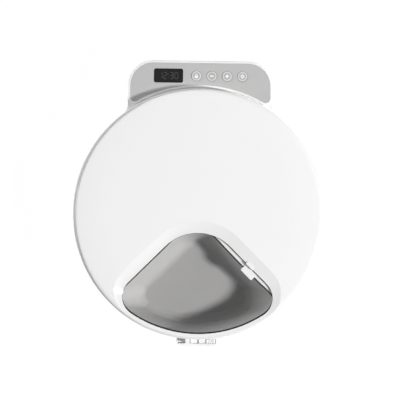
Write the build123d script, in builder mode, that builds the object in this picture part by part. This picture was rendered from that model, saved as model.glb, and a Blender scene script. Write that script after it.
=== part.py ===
from build123d import *
from math import acos, cos, pi, radians, sin, sqrt, tan
import os

# Rotating-tray pet feeder: four meal bowls under a domed lid with one serving window.
# Millimetres, +Z up, +Y to the rear console, origin under the middle of the whole feeder.

# Plan sizes, from the axis that the tray turns on
LID_RADIUS = 155.0
CONSOLE_DEPTH = 34.4
CONSOLE_REACH = LID_RADIUS + CONSOLE_DEPTH
CONSOLE_HALF_WIDTH = 89.5
CONSOLE_CORNER = 31.0
CONSOLE_BLEND = 15.0
CONSOLE_ROOT = 52.2
LOCK_DEPTH = 8.0
LOCK_REACH = LID_RADIUS + LOCK_DEPTH
LOCK_HALF_WIDTH = 25.5
AXIS_Y = (LOCK_REACH - CONSOLE_REACH) / 2

# Heights above the table
FOOT_HEIGHT = 2.5
PLATE_THICKNESS = 2.5
WELL_UNDERSIDE = 21.5
WELL_FLOOR = 24.0
SEAM_HEIGHT = 50.0
CONSOLE_TOP = 52.5
DECK_TOP = 60.5
WINDOW_HEIGHT = 63.0
LID_TOP = 71.0

# Walls and draft
SHELL_WALL = 2.8
LID_WALL = 2.5
SHELL_LEAN = 3.0
FIT = 0.3
PRESS = 0.02
RUNNING = 0.05
ROOTING = 1.0
CUT_MARGIN = 1.0
TOLERANCE = 0.01

PLATE_TOP = FOOT_HEIGHT + PLATE_THICKNESS
DIAGONAL = sqrt(0.5)

# Lid dome and its seam
LID_GAP = 0.2
DOME_WIDTH = 45.0
DOME_START = LID_RADIUS - DOME_WIDTH
DOME_RADIUS = 205.0
DOME_EDGE = 9.0
LIP_DEPTH = 4.5
LIP_THICKNESS = 1.2
LIP_CLEARANCE = 0.3
GASKET_WIDTH = 1.1
GASKET_HEIGHT = 1.1
GASKET_INSET = 0.85

# Serving window, a quarter wedge with a sloping surround
WINDOW_INSET = 7.0
WINDOW_REACH = LID_RADIUS - WINDOW_INSET
WINDOW_APEX = 56.6
WINDOW_CORNER = 24.6
WINDOW_LIP = 1.0
SURROUND_WIDTH = 14.8
SURROUND_WALL = 2.2
HOOD_INSET = 58.0
HOOD_ALONG = WINDOW_REACH - HOOD_INSET
HOOD_LENGTH = 13.0
HOOD_OUT = 6.0
HOOD_IN = 1.4
HOOD_HEIGHT = 3.2
HOOD_ROUND = 2.0
HOOD_WALL = 1.6

# Tray deck and the bowls that hang in it
DECK_GAP = 0.3
DECK_RADIUS = LID_RADIUS - SHELL_WALL - LIP_CLEARANCE - LIP_THICKNESS - DECK_GAP
BOWL_INSET = 0.7
BOWL_REACH = DECK_RADIUS - BOWL_INSET
BOWL_LEFT_GAP = -0.4
BOWL_RIGHT_GAP = 3.0
BOWL_BOW = 2.4
BOWL_APEX = 38.0
BOWL_CORNER = 15.8
BASIN_CORNER = 14.0
FLOOR_CORNER = 20.0
BOWL_DEPTH = 33.0
BOWL_DRAFT = 24.0
BOWL_WALL = 1.2
BOWL_FLOOR_ROUND = 13.2
RIM_WIDTH = 1.8
RIM_THICKNESS = 1.4
QUARTERS = 4

# Tray carrier
DECK_THICKNESS = 2.0
DECK_SKIRT = 5.5
SKIRT_WALL = 1.5
LEDGE_WIDTH = 0.9
RIM_FIT = 0.15
COLUMN_RADIUS = 10.0
SOCKET_RADIUS = 18.0
SOCKET_BOTTOM = 27.0
SOCKET_ROOF = 4.0
RIB_THICKNESS = 2.0
RIB_DEPTH = 13.5

# Bowl clips, on the land beside each bowl
CLIP_INSET = 55.1
CLIP_ALONG = BOWL_REACH - CLIP_INSET
CLIP_LENGTH = 18.6
CLIP_START = 1.4
CLIP_TIP = 10.9
CLIP_THICKNESS = 1.1
CLIP_CORNER = 1.2
CLIP_ROUND = 0.35
CLIP_TONGUE = (8.0, 2.0)

# Hub and its bearing
HUB_CORE = 12.0
HUB_KEY_REACH = 14.5
HUB_KEY_WIDTH = 3.0
HUB_TOP = 40.0
HUB_CHAMFER = 0.8
JOURNAL_RADIUS = 6.0
STUB_RADIUS = 5.0
STUB_FLAT = 1.0
BUSH_RADIUS = 9.0
BUSH_FLANGE = 11.5
BUSH_FLANGE_THICKNESS = 1.0
THRUST_GAP = 0.1
BOSS_RADIUS = 12.5
BOSS_BOTTOM = 12.4

# Gear train
GEAR_MODULE = 0.8
PRESSURE_ANGLE = radians(20)
GEAR_BOTTOM = 6.0
GEAR_FACE = 4.0
TEETH_HUB = 56
TEETH_IDLER = 28
TEETH_PINION = 14
BACKLASH = 0.2
ADDENDUM = 0.8 * GEAR_MODULE
DEDENDUM = 1.0 * GEAR_MODULE
GEAR_TOP = GEAR_BOTTOM + GEAR_FACE
IDLER_X = -GEAR_MODULE * (TEETH_HUB + TEETH_IDLER) / 2
PINION_X = IDLER_X - GEAR_MODULE * (TEETH_IDLER + TEETH_PINION) / 2
COLLAR_RADIUS = 8.0
SHAFT_RADIUS = 2.0
PIN_HEAD = 3.5
PIN_HEAD_THICKNESS = 0.6
IDLER_BOSS = 4.2
HUB_SCREW_HEAD = 3.2
HUB_SCREW_SLOT = 0.6
HUB_SCREW_RADIUS = 1.5
HUB_SCREW_SEAT = 0.8
HUB_SCREW_PROUD = 0.6
HUB_SCREW_RECESS = 0.7
HUB_GEAR_WEB = 1.0
IDLER_PIN_SEAT = 2.0

# Motor
MOTOR_GAP = 0.4
GEARBOX_SIZE = (40.0, 24.0)
SHAFT_INSET = 10.4
SHAFT_ENGAGE = 4.8
CAN_RADIUS = 10.0
CAN_FLAT = 15.0
CAN_LENGTH = 25.0
MOTOR_POST_SPREAD = 16.0
MOTOR_POST_RADIUS = 3.2
MOTOR_EAR_THICKNESS = 2.0
MOTOR_EAR_MARGIN = 0.8
GEARBOX_CORNER = 2.0

# Places of the tray magnets and the board that reads them
MAGNET_PLACE = 16.0
MAGNET_RADIUS = 2.0
MAGNET_THICKNESS = 1.5
INDEX_BOARD_SIZE = (18.0, 17.0)
BOARD_THICKNESS = 1.2
SENSOR_SIZE = (4.0, 3.0)
SENSOR_THICKNESS = 1.4
SENSOR_GAP = 0.6
SENSOR_MARGIN = 1.0
INDEX_PEG_SPREAD = (6.0, 4.5)
INDEX_PEG = 1.0
INDEX_POST = 2.5

# Battery bay, four AA cells in two rows
CELL_RADIUS = 7.15
CELL_LENGTH = 50.5
CELL_PITCH = 15.0
BATTERY_Y = 92.0
BAY_WALL = 1.6
BAY_GAP = 0.1
BAY_CLEARANCE = 1.0
CELL_LIFT = 0.6
CELL_TIP = 1.0
CELL_TIP_RADIUS = 2.4
CONTACT_SIZE = 11.4
CONTACT_CORNER = 1.0
CONTACT_THICKNESS = 0.4
CONTACT_BUMP = 0.4
DIVIDER = 1.0
DOOR_MARGIN = 1.2
DOOR_GAP = 0.35
DOOR_GROOVES = 5
DOOR_GROOVE_LENGTH = 26.0
DOOR_GROOVE_STEP = (3.0, 2.4)
DOOR_GROOVE_START = 5.0
DOOR_GROOVE_WIDTH = 1.2
DOOR_GROOVE_DEPTH = 0.6

# Fasteners and feet
SCREW_INSET = 17.0
SCREW_RING = LID_RADIUS - SCREW_INSET
SCREW_COUNT = 8
SCREW_BOSS = 4.0
SCREW_RADIUS = 1.4
SCREW_HEAD = 2.8
SCREW_HEAD_THICKNESS = 1.2
SCREW_SLOT = 0.56
SCREW_LENGTH = 10.0
CONSOLE_SCREW_INSET = (14.5, 24.4)
CONSOLE_SCREW_PLACE = (CONSOLE_HALF_WIDTH - CONSOLE_SCREW_INSET[0], CONSOLE_REACH - CONSOLE_SCREW_INSET[1])
FOOT_RADIUS = 9.0
FOOT_INSET = 29.0
FOOT_RING = LID_RADIUS - FOOT_INSET
FOOT_COUNT = 6
FOOT_CHAMFER = 0.6
FOOT_PEG = 2.5
FOOT_PEG_LENGTH = 2.0
CONSOLE_FOOT_INSET = (19.5, 39.4)
CONSOLE_FOOT_PLACE = (CONSOLE_HALF_WIDTH - CONSOLE_FOOT_INSET[0], CONSOLE_REACH - CONSOLE_FOOT_INSET[1])

# Console
CONSOLE_GAP = 1.6
CONSOLE_FRONT = LID_RADIUS + CONSOLE_GAP
CONSOLE_FRONT_CORNER = 8.5
TUB_OUTSET = 0.7
CONSOLE_EDGE = 2.0
CONSOLE_DECK = 3.0
PANEL_BORDER = 3.0
PANEL_THICKNESS = 1.5
PANEL_FIT = 0.1
CONTROL_INSET = 18.8
CONTROL_Y = CONSOLE_REACH - CONTROL_INSET
DISPLAY_X = -39.5
DISPLAY_SIZE = (36.0, 17.3)
DISPLAY_CORNER = 2.5
DISPLAY_LEDGE = 1.2
BUTTON_FIRST = -5.0
BUTTON_PITCH = 19.0
BUTTON_NAMES = ("button_lock", "button_minus", "button_plus", "button_set")
BUTTON_RADIUS = 6.1
BUTTON_GAP = 0.2
BUTTON_PROUD = 0.6
BUTTON_FLANGE = 7.3
BUTTON_FLANGE_THICKNESS = 1.1
BUTTON_STEM = 2.4
BUTTON_TRAVEL = 0.6
MAIN_BOARD_TOP = 43.5
MAIN_BOARD_INSET = 23.5
MAIN_BOARD_HALF = CONSOLE_HALF_WIDTH - MAIN_BOARD_INSET
MAIN_BOARD_MARGIN = (4.4, 5.9)
MAIN_BOARD_DEPTH = (CONSOLE_FRONT + MAIN_BOARD_MARGIN[0], CONSOLE_REACH - MAIN_BOARD_MARGIN[1])
BOARD_POST_SPREAD = (62.0, 7.0)
BOARD_POST_RADIUS = 3.0
SWITCH_SIZE = 6.0
SWITCH_HEIGHT = 2.5
SWITCH_PLUNGER = 1.7
PLUNGER_HEIGHT = 1.0
BUTTON_ROUND = 0.48
CHIP_HEIGHT = 2.0
MAIN_CHIPS = ((0.0, 0.0, 12.0, 12.0), (24.0, 3.0, 12.0, 12.0), (-30.0, -4.0, 16.0, 8.0))
MAIN_SCREW = 8.0

# Speaker and mains adaptor inlet
SPEAKER_X = -50.0
SPEAKER_INSET = 21.4
SPEAKER_PLACE = (SPEAKER_X, CONSOLE_REACH - SPEAKER_INSET)
SPEAKER_RADIUS = 14.0
SPEAKER_THICKNESS = 5.0
SPEAKER_RIM = (2.0, 1.0)
SPEAKER_MAGNET = (8.4, 2.0)
GRILLE_HOLE = 1.2
GRILLE_PITCH = 4.5
GRILLE_RINGS = 2
JACK_X = 40.0
JACK_HEIGHT = 14.0
JACK_BODY = (9.0, 11.0)
JACK_DEPTH = 14.0
JACK_NOSE = 4.2
JACK_BORE = 2.8
JACK_BORE_DEPTH = 9.0

# Lock, a slide bolt in the boss at the front
LOCK_BOTTOM = 30.0
LOCK_ROUND = 6.0
POCKET_SIDE = 2.2
POCKET_HALF_WIDTH = LOCK_HALF_WIDTH - POCKET_SIDE
POCKET_SETBACK = 0.2
POCKET_BACK = LID_RADIUS + POCKET_SETBACK
LOCK_WALL = 2.5
POCKET_FRONT = LOCK_REACH - LOCK_WALL
POCKET_FLOOR = 34.0
LUG_LEFT = -14.0
LUG_WIDTH = 5.4
LUG_BOTTOM = 36.0
LUG_TOP = 57.5
LUG_GAP = 0.4
LUG_FRONT = POCKET_FRONT - LUG_GAP
LUG_BACK = POCKET_BACK + FIT
LUG_SINK = 1.6
LUG_ROOT = LID_RADIUS - LUG_SINK
LUG_COVER_GAP = 0.4
LUG_COVER_THICKNESS = 1.5
BOLT_WINDOW = (39.0, 44.5)
BOLT_WALL = 1.2
BOLT_BACKOFF = 0.8
BOLT_TIP = LUG_LEFT + LUG_WIDTH + BOLT_BACKOFF
CARRIAGE_LEFT = 3.0
GRIP_LEFT = 11.5
GRIP_TOP = 50.4
GRIP_RIDGES = 3
GRIP_RIDGE_WIDTH = 1.2
GRIP_RIDGE_DEPTH = 0.5
GRIP_ROUND = 1.0
BOLT_END_GAP = 0.5
RAIL_HEIGHT = 2.0
RAIL_DEPTH = 0.8

os.makedirs("parts", exist_ok=True)


def level(height, quarter=0):
    """Plane across the tray axis at a height, turned by whole quarter turns."""
    return Plane(origin=(0, AXIS_Y, height)).rotated((0, 0, 90 * quarter))


def lean(height):
    """How far the tub's wall has drawn in at a height below the seam."""
    return SHELL_LEAN * (SEAM_HEIGHT - height) / (SEAM_HEIGHT - FOOT_HEIGHT)


def console_block(inset):
    """Rounded rectangle of the console, running well into the disc."""
    length = CONSOLE_REACH - CONSOLE_ROOT
    with Locations((0, CONSOLE_REACH - length / 2)):
        RectangleRounded(
            2 * (CONSOLE_HALF_WIDTH - inset), length - 2 * inset, CONSOLE_CORNER - inset
        )


def tub_outline(sketch, inset):
    """Disc and console in one outline, drawn in all round by the inset."""
    Circle(LID_RADIUS - inset)
    console_block(inset)
    side = CONSOLE_HALF_WIDTH - inset
    corners = sketch.vertices().filter_by(lambda v: abs(abs(v.X) - side) < TOLERANCE)
    fillet(corners.sort_by(Axis.Y)[:2], CONSOLE_BLEND + inset)


def console_outline(sketch, inset, front=CONSOLE_FRONT, corner=CONSOLE_FRONT_CORNER):
    """Top of the console behind the lid, drawn in all round by the inset."""
    console_block(inset)
    Circle(front + inset, mode=Mode.SUBTRACT)
    side = CONSOLE_HALF_WIDTH - inset
    corners = sketch.vertices().filter_by(lambda v: abs(abs(v.X) - side) < TOLERANCE)
    fillet(corners.sort_by(Axis.Y)[:2], corner - inset)


def wedge(sketch, inset, left_gap, right_gap, reach, apex_round, corner_round, bow=0.0):
    """Quarter wedge open to the front, its sides a gap inside the two diagonals."""
    left = left_gap + inset
    right = right_gap + inset
    far = reach - inset
    left_run = sqrt(far**2 - left**2)
    right_run = sqrt(far**2 - right**2)
    apex = Vector((left - right) * DIAGONAL, -(left + right) * DIAGONAL)
    left_corner = Vector((left - left_run) * DIAGONAL, -(left + left_run) * DIAGONAL)
    right_corner = Vector((right_run - right) * DIAGONAL, -(right_run + right) * DIAGONAL)
    with BuildLine() as sides:
        if bow:
            middle = (apex + right_corner) / 2 + Vector(-DIAGONAL, -DIAGONAL) * bow
            ThreePointArc(apex, middle, right_corner)
        else:
            Line(apex, right_corner)
        ThreePointArc(right_corner, (0, -far), left_corner)
        Line(left_corner, apex)
    make_face(sides.edges())
    tip = sketch.vertices().sort_by(Axis.Y)[-1]
    fillet(tip, apex_round - inset)
    fillet(sketch.vertices().sort_by(Axis.X)[0], corner_round - inset)
    fillet(sketch.vertices().sort_by(Axis.X)[-1], corner_round - inset)


def window_outline(sketch, outset):
    """Serving window, grown by the outset."""
    wedge(sketch, -outset, 0, 0, WINDOW_REACH, WINDOW_APEX, WINDOW_CORNER)


def bowl_outline(sketch, inset, corner=BOWL_CORNER):
    """One bowl's rim, drawn in by the inset."""
    wedge(
        sketch,
        inset,
        BOWL_LEFT_GAP,
        BOWL_RIGHT_GAP,
        BOWL_REACH,
        BOWL_APEX,
        corner,
        BOWL_BOW,
    )


def land_plane(along, across, height, quarter=0):
    """Plane on the land at a bowl's right, X outward along it and Y away from the bowl."""
    place = Vector(along - across, -along - across) * DIAGONAL
    place = place.rotate(Axis.Z, 90 * quarter) + Vector(0, AXIS_Y, height)
    x_dir = Vector(1, -1, 0).rotate(Axis.Z, 90 * quarter)
    return Plane(origin=place, x_dir=x_dir, z_dir=(0, 0, 1))


def involute(angle):
    return tan(angle) - angle


def gear_outline(teeth, phase):
    """Spur gear outline with stub teeth; phase is a share of one tooth pitch."""
    pitch_radius = GEAR_MODULE * teeth / 2
    base_radius = pitch_radius * cos(PRESSURE_ANGLE)
    tip_radius = pitch_radius + ADDENDUM
    root_radius = pitch_radius - DEDENDUM
    half_pitch_tooth = pi / (2 * teeth) - BACKLASH / (4 * pitch_radius)

    def flank(radius, angle, side):
        pressure = acos(min(1.0, base_radius / radius))
        half = half_pitch_tooth + involute(PRESSURE_ANGLE) - involute(pressure)
        return Vector(cos(angle + side * half), sin(angle + side * half)) * radius

    with BuildLine() as flanks:
        for tooth in range(teeth):
            angle = 2 * pi * (tooth + phase) / teeth
            following = 2 * pi * (tooth + 1 + phase) / teeth
            root_in, middle_in, tip_in = [
                flank(r, angle, -1) for r in (root_radius, pitch_radius, tip_radius)
            ]
            tip_out, middle_out, root_out = [
                flank(r, angle, 1) for r in (tip_radius, pitch_radius, root_radius)
            ]
            ThreePointArc(root_in, middle_in, tip_in)
            ThreePointArc(tip_in, Vector(cos(angle), sin(angle)) * tip_radius, tip_out)
            ThreePointArc(tip_out, middle_out, root_out)
            between = (angle + following) / 2
            valley = Vector(cos(between), sin(between)) * root_radius
            ThreePointArc(root_out, valley, flank(root_radius, following, -1))
    make_face(flanks.edges())


def d_section(radius, flat):
    """Round section with one flat."""
    Circle(radius)
    with Locations((2 * radius - flat, 0)):
        Rectangle(2 * radius, 2 * radius, mode=Mode.SUBTRACT)


# Places that several pieces share
screw_places = [
    (SCREW_RING * cos(pi * (2 * n + 1) / SCREW_COUNT), SCREW_RING * sin(pi * (2 * n + 1) / SCREW_COUNT))
    for n in range(SCREW_COUNT)
]
console_screws = [(side * CONSOLE_SCREW_PLACE[0], CONSOLE_SCREW_PLACE[1]) for side in (-1, 1)]
foot_places = [
    (FOOT_RING * cos(pi * (2 * n + 1) / FOOT_COUNT), FOOT_RING * sin(pi * (2 * n + 1) / FOOT_COUNT))
    for n in range(FOOT_COUNT)
] + [(side * CONSOLE_FOOT_PLACE[0], CONSOLE_FOOT_PLACE[1]) for side in (-1, 1)]
button_places = [(BUTTON_FIRST + n * BUTTON_PITCH, CONTROL_Y) for n in range(len(BUTTON_NAMES))]
board_middle = sum(MAIN_BOARD_DEPTH) / 2
board_posts = [
    (x * BOARD_POST_SPREAD[0], board_middle + y * BOARD_POST_SPREAD[1])
    for x in (-1, 1)
    for y in (-1, 1)
]
gearbox_x = PINION_X + SHAFT_INSET - GEARBOX_SIZE[0] / 2
motor_posts = [(gearbox_x, side * MOTOR_POST_SPREAD) for side in (-1, 1)]
gearbox_bottom = GEAR_TOP + MOTOR_GAP
ear_top = gearbox_bottom + MOTOR_EAR_THICKNESS
magnet_places = [
    (MAGNET_PLACE * cos(pi * n / 2), MAGNET_PLACE * sin(pi * n / 2)) for n in range(QUARTERS)
]
index_board_bottom = GEAR_TOP + SENSOR_GAP + SENSOR_THICKNESS
index_board_y = MAGNET_PLACE + (INDEX_BOARD_SIZE[1] - SENSOR_SIZE[1]) / 2 - SENSOR_MARGIN
index_pegs = [(side * INDEX_PEG_SPREAD[0], index_board_y + INDEX_PEG_SPREAD[1]) for side in (-1, 1)]
cell_room = CELL_LENGTH + 2 * (CONTACT_THICKNESS + CONTACT_BUMP) + FIT
bay_length = 2 * cell_room + DIVIDER
bay_depth = CELL_PITCH + 2 * CELL_RADIUS + BAY_CLEARANCE
door_size = (bay_length + 2 * DOOR_MARGIN, bay_depth + 2 * DOOR_MARGIN)
cell_height = PLATE_TOP + CELL_LIFT + CELL_RADIUS
panel_bottom = CONSOLE_TOP - PANEL_THICKNESS
console_ceiling = CONSOLE_TOP - CONSOLE_DECK
deck_bottom = DECK_TOP - DECK_THICKNESS
lid_bottom = SEAM_HEIGHT + LID_GAP
rim_inner = LID_RADIUS - SHELL_WALL
lip_outer = rim_inner - LIP_CLEARANCE
lip_inner = lip_outer - LIP_THICKNESS
gasket_outer = LID_RADIUS - GASKET_INSET
gasket_inner = gasket_outer - GASKET_WIDTH
dome_centre_height = LID_TOP - DOME_RADIUS

# Base shell: tub, console and lock boss in one moulding
with BuildPart() as base_shell:
    for height in (FOOT_HEIGHT, SEAM_HEIGHT):
        with BuildSketch(level(height)) as outline:
            tub_outline(outline, lean(height))
    loft(ruled=True)
    with BuildSketch(level(SEAM_HEIGHT)) as console_top:
        console_outline(console_top, 0)
    extrude(amount=CONSOLE_TOP - SEAM_HEIGHT)
    top_edges = base_shell.faces().sort_by(Axis.Z)[-1].edges()
    fillet(top_edges, CONSOLE_EDGE)
    with BuildSketch(level(LOCK_BOTTOM)) as lock_boss:
        with Locations((0, -(LOCK_REACH + LID_RADIUS - LOCK_ROUND) / 2)):
            Rectangle(2 * LOCK_HALF_WIDTH, LOCK_REACH - LID_RADIUS + LOCK_ROUND)
        fillet(lock_boss.vertices().sort_by(Axis.Y)[:2], LOCK_ROUND)
    extrude(amount=SEAM_HEIGHT - LOCK_BOTTOM)

    # Well for the tray
    for height in (WELL_FLOOR, SEAM_HEIGHT):
        with BuildSketch(level(height)):
            Circle(rim_inner - lean(height))
    loft(ruled=True, mode=Mode.SUBTRACT)

    # Space under the well and the console, and the console's own inside
    for height in (FOOT_HEIGHT, WELL_UNDERSIDE):
        with BuildSketch(level(height)) as outline:
            tub_outline(outline, lean(height) + SHELL_WALL)
    loft(ruled=True, mode=Mode.SUBTRACT)
    with BuildSketch(level(WELL_UNDERSIDE)) as low_inside:
        console_block(lean(WELL_UNDERSIDE) + SHELL_WALL)
        Circle(LID_RADIUS + TUB_OUTSET, mode=Mode.SUBTRACT)
    extrude(amount=SEAM_HEIGHT - SHELL_WALL - WELL_UNDERSIDE, mode=Mode.SUBTRACT)
    with BuildSketch(level(SEAM_HEIGHT - SHELL_WALL)) as high_inside:
        console_outline(high_inside, SHELL_WALL)
    extrude(amount=console_ceiling - SEAM_HEIGHT + SHELL_WALL, mode=Mode.SUBTRACT)

    # Recess for the panel, with holes for the controls
    with BuildSketch(level(panel_bottom)) as recess:
        console_outline(recess, PANEL_BORDER - PANEL_FIT)
    extrude(amount=PANEL_THICKNESS, mode=Mode.SUBTRACT)
    with BuildSketch(level(console_ceiling)):
        with Locations(*button_places):
            Circle(BUTTON_FLANGE + FIT)
        with Locations((DISPLAY_X, CONTROL_Y)):
            Rectangle(*[size - 2 * DISPLAY_LEDGE for size in DISPLAY_SIZE])
    extrude(amount=CONSOLE_DECK, mode=Mode.SUBTRACT)

    # Groove for the gasket
    with BuildSketch(level(SEAM_HEIGHT)):
        Circle(gasket_outer + RUNNING)
        Circle(gasket_inner - RUNNING, mode=Mode.SUBTRACT)
    extrude(amount=-GASKET_HEIGHT + LID_GAP - RUNNING, mode=Mode.SUBTRACT)

    # Lock pocket with the rails that keep the bolt down
    with BuildSketch(level(POCKET_FLOOR)):
        with Locations((0, -(POCKET_BACK + POCKET_FRONT) / 2)):
            Rectangle(2 * POCKET_HALF_WIDTH, POCKET_FRONT - POCKET_BACK)
    extrude(amount=SEAM_HEIGHT - POCKET_FLOOR, mode=Mode.SUBTRACT)
    with BuildSketch(level(POCKET_FLOOR + RAIL_HEIGHT)):
        with Locations((0, -(POCKET_BACK + POCKET_FRONT) / 2)):
            Rectangle(2 * POCKET_HALF_WIDTH, POCKET_FRONT - POCKET_BACK + 2 * RAIL_DEPTH)
    extrude(amount=RAIL_HEIGHT, mode=Mode.SUBTRACT)

    # Bosses under the well: bush, idler pin, motor, index board, plate screws and main board
    with BuildSketch(level(BOSS_BOTTOM)):
        Circle(BOSS_RADIUS)
    extrude(amount=WELL_FLOOR - BOSS_BOTTOM)
    with BuildSketch(level(GEAR_TOP + FIT)):
        with Locations((IDLER_X, 0)):
            Circle(IDLER_BOSS)
    extrude(amount=WELL_UNDERSIDE - GEAR_TOP)
    with BuildSketch(level(ear_top)):
        with Locations(*motor_posts):
            Circle(MOTOR_POST_RADIUS)
    extrude(amount=WELL_FLOOR - ear_top - ROOTING)
    with BuildSketch(level(index_board_bottom + BOARD_THICKNESS)):
        with Locations(*index_pegs):
            Circle(INDEX_POST)
    extrude(amount=WELL_UNDERSIDE - index_board_bottom)
    with BuildSketch(level(index_board_bottom)):
        with Locations(*index_pegs):
            Circle(INDEX_PEG)
    extrude(amount=BOARD_THICKNESS)
    with BuildSketch(level(PLATE_TOP)):
        with Locations(*screw_places):
            Circle(SCREW_BOSS)
    extrude(amount=WELL_FLOOR - PLATE_TOP - ROOTING)
    with BuildSketch(level(PLATE_TOP)):
        with Locations(*console_screws):
            Circle(SCREW_BOSS)
    extrude(amount=console_ceiling - PLATE_TOP + ROOTING)
    with BuildSketch(level(MAIN_BOARD_TOP)):
        with Locations(*board_posts):
            Circle(BOARD_POST_RADIUS)
    extrude(amount=console_ceiling - MAIN_BOARD_TOP + ROOTING)

    # Bores
    with BuildSketch(level(BOSS_BOTTOM)):
        Circle(BUSH_RADIUS + PRESS)
    extrude(amount=WELL_FLOOR - BOSS_BOTTOM, mode=Mode.SUBTRACT)
    with BuildSketch(level(GEAR_TOP)):
        with Locations((IDLER_X, 0)):
            Circle(SHAFT_RADIUS + PRESS)
    extrude(amount=WELL_UNDERSIDE - GEAR_TOP - IDLER_PIN_SEAT, mode=Mode.SUBTRACT)
    with BuildSketch(level(ear_top)):
        with Locations(*motor_posts):
            Circle(SCREW_RADIUS + RUNNING)
    extrude(amount=SCREW_LENGTH - MOTOR_EAR_THICKNESS, mode=Mode.SUBTRACT)
    with BuildSketch(level(PLATE_TOP)):
        with Locations(*screw_places, *console_screws):
            Circle(SCREW_RADIUS + RUNNING)
    extrude(amount=SCREW_LENGTH, mode=Mode.SUBTRACT)
    with BuildSketch(level(MAIN_BOARD_TOP)):
        with Locations(*board_posts):
            Circle(SCREW_RADIUS + RUNNING)
    extrude(amount=MAIN_SCREW - BOARD_THICKNESS + FIT, mode=Mode.SUBTRACT)
    with BuildSketch(Plane.XZ.offset(-(AXIS_Y + CONSOLE_REACH))):
        with Locations((JACK_X, JACK_HEIGHT)):
            Circle(JACK_NOSE + FIT)
    extrude(amount=2 * SHELL_WALL + SHELL_LEAN, mode=Mode.SUBTRACT)
base_shell.part.label = "base_shell"
export_step(base_shell.part, "parts/base_shell.step")

# Gasket that seals the lid's seam
with BuildPart() as lid_gasket:
    with BuildSketch(level(lid_bottom - RUNNING)):
        Circle(gasket_outer)
        Circle(gasket_inner, mode=Mode.SUBTRACT)
    extrude(amount=-GASKET_HEIGHT + RUNNING)
lid_gasket.part.label = "lid_gasket"
export_step(lid_gasket.part, "parts/lid_gasket.step")

# Bottom plate with the battery opening, speaker grille and screw holes
with BuildPart() as bottom_plate:
    with BuildSketch(level(FOOT_HEIGHT)) as outline:
        tub_outline(outline, lean(FOOT_HEIGHT) + SHELL_WALL + FIT)
    extrude(amount=PLATE_THICKNESS)
    with BuildSketch(level(FOOT_HEIGHT)):
        with Locations((0, BATTERY_Y)):
            Rectangle(*[size + 2 * DOOR_GAP for size in door_size])
        with Locations(*screw_places, *console_screws):
            Circle(SCREW_RADIUS + FIT)
        with Locations(*foot_places):
            Circle(FOOT_PEG + RUNNING)
        with Locations(SPEAKER_PLACE):
            Circle(GRILLE_HOLE)
            for ring in range(1, GRILLE_RINGS + 1):
                with PolarLocations(ring * GRILLE_PITCH, 6 * ring):
                    Circle(GRILLE_HOLE)
    extrude(amount=PLATE_THICKNESS, mode=Mode.SUBTRACT)
    with BuildSketch(level(FOOT_HEIGHT)):
        with Locations(*screw_places, *console_screws):
            Circle(SCREW_HEAD + FIT)
    extrude(amount=SCREW_HEAD_THICKNESS + FIT, mode=Mode.SUBTRACT)
bottom_plate.part.label = "bottom_plate"
export_step(bottom_plate.part, "parts/bottom_plate.step")

# Rubber feet with pegs in the plate
with BuildPart() as rubber_feet:
    with BuildSketch(level(0)):
        with Locations(*foot_places):
            Circle(FOOT_RADIUS)
    extrude(amount=FOOT_HEIGHT)
    chamfer(rubber_feet.edges().group_by(Axis.Z)[0], FOOT_CHAMFER)
    with BuildSketch(level(FOOT_HEIGHT)):
        with Locations(*foot_places):
            Circle(FOOT_PEG)
    extrude(amount=FOOT_PEG_LENGTH)
rubber_feet.part.label = "rubber_feet"
export_step(rubber_feet.part, "parts/rubber_feet.step")


def screws(head_bottom, places, length=SCREW_LENGTH):
    """Upright screws, heads down, with a cross recess in each head."""
    with BuildPart() as group:
        with BuildSketch(level(head_bottom)):
            with Locations(*places):
                Circle(SCREW_HEAD)
        extrude(amount=SCREW_HEAD_THICKNESS)
        with BuildSketch(level(head_bottom)):
            with Locations(*places):
                Rectangle(SCREW_HEAD, SCREW_SLOT)
                Rectangle(SCREW_SLOT, SCREW_HEAD)
        extrude(amount=SCREW_HEAD_THICKNESS / 2, mode=Mode.SUBTRACT)
        with BuildSketch(level(head_bottom + SCREW_HEAD_THICKNESS)):
            with Locations(*places):
                Circle(SCREW_RADIUS)
        extrude(amount=length)
    return group.part


plate_screws = screws(FOOT_HEIGHT + FIT, screw_places + console_screws)
plate_screws.label = "plate_screws"
export_step(plate_screws, "parts/plate_screws.step")
motor_screws = screws(gearbox_bottom - SCREW_HEAD_THICKNESS, motor_posts, SCREW_LENGTH - FIT)
motor_screws.label = "motor_screws"
export_step(motor_screws, "parts/motor_screws.step")
board_screws = screws(
    MAIN_BOARD_TOP - BOARD_THICKNESS - SCREW_HEAD_THICKNESS, board_posts, MAIN_SCREW
)
board_screws.label = "board_screws"
export_step(board_screws, "parts/board_screws.step")

# Bush pressed into the hub boss
with BuildPart() as hub_bush:
    with BuildSketch(level(BOSS_BOTTOM)):
        Circle(BUSH_RADIUS)
    extrude(amount=WELL_FLOOR - BOSS_BOTTOM)
    with BuildSketch(level(WELL_FLOOR)):
        Circle(BUSH_FLANGE)
    extrude(amount=BUSH_FLANGE_THICKNESS)
    with BuildSketch(level(BOSS_BOTTOM)):
        Circle(JOURNAL_RADIUS + RUNNING)
    extrude(amount=WELL_FLOOR + BUSH_FLANGE_THICKNESS - BOSS_BOTTOM, mode=Mode.SUBTRACT)
hub_bush.part.label = "hub_bush"
export_step(hub_bush.part, "parts/hub_bush.step")

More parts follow.
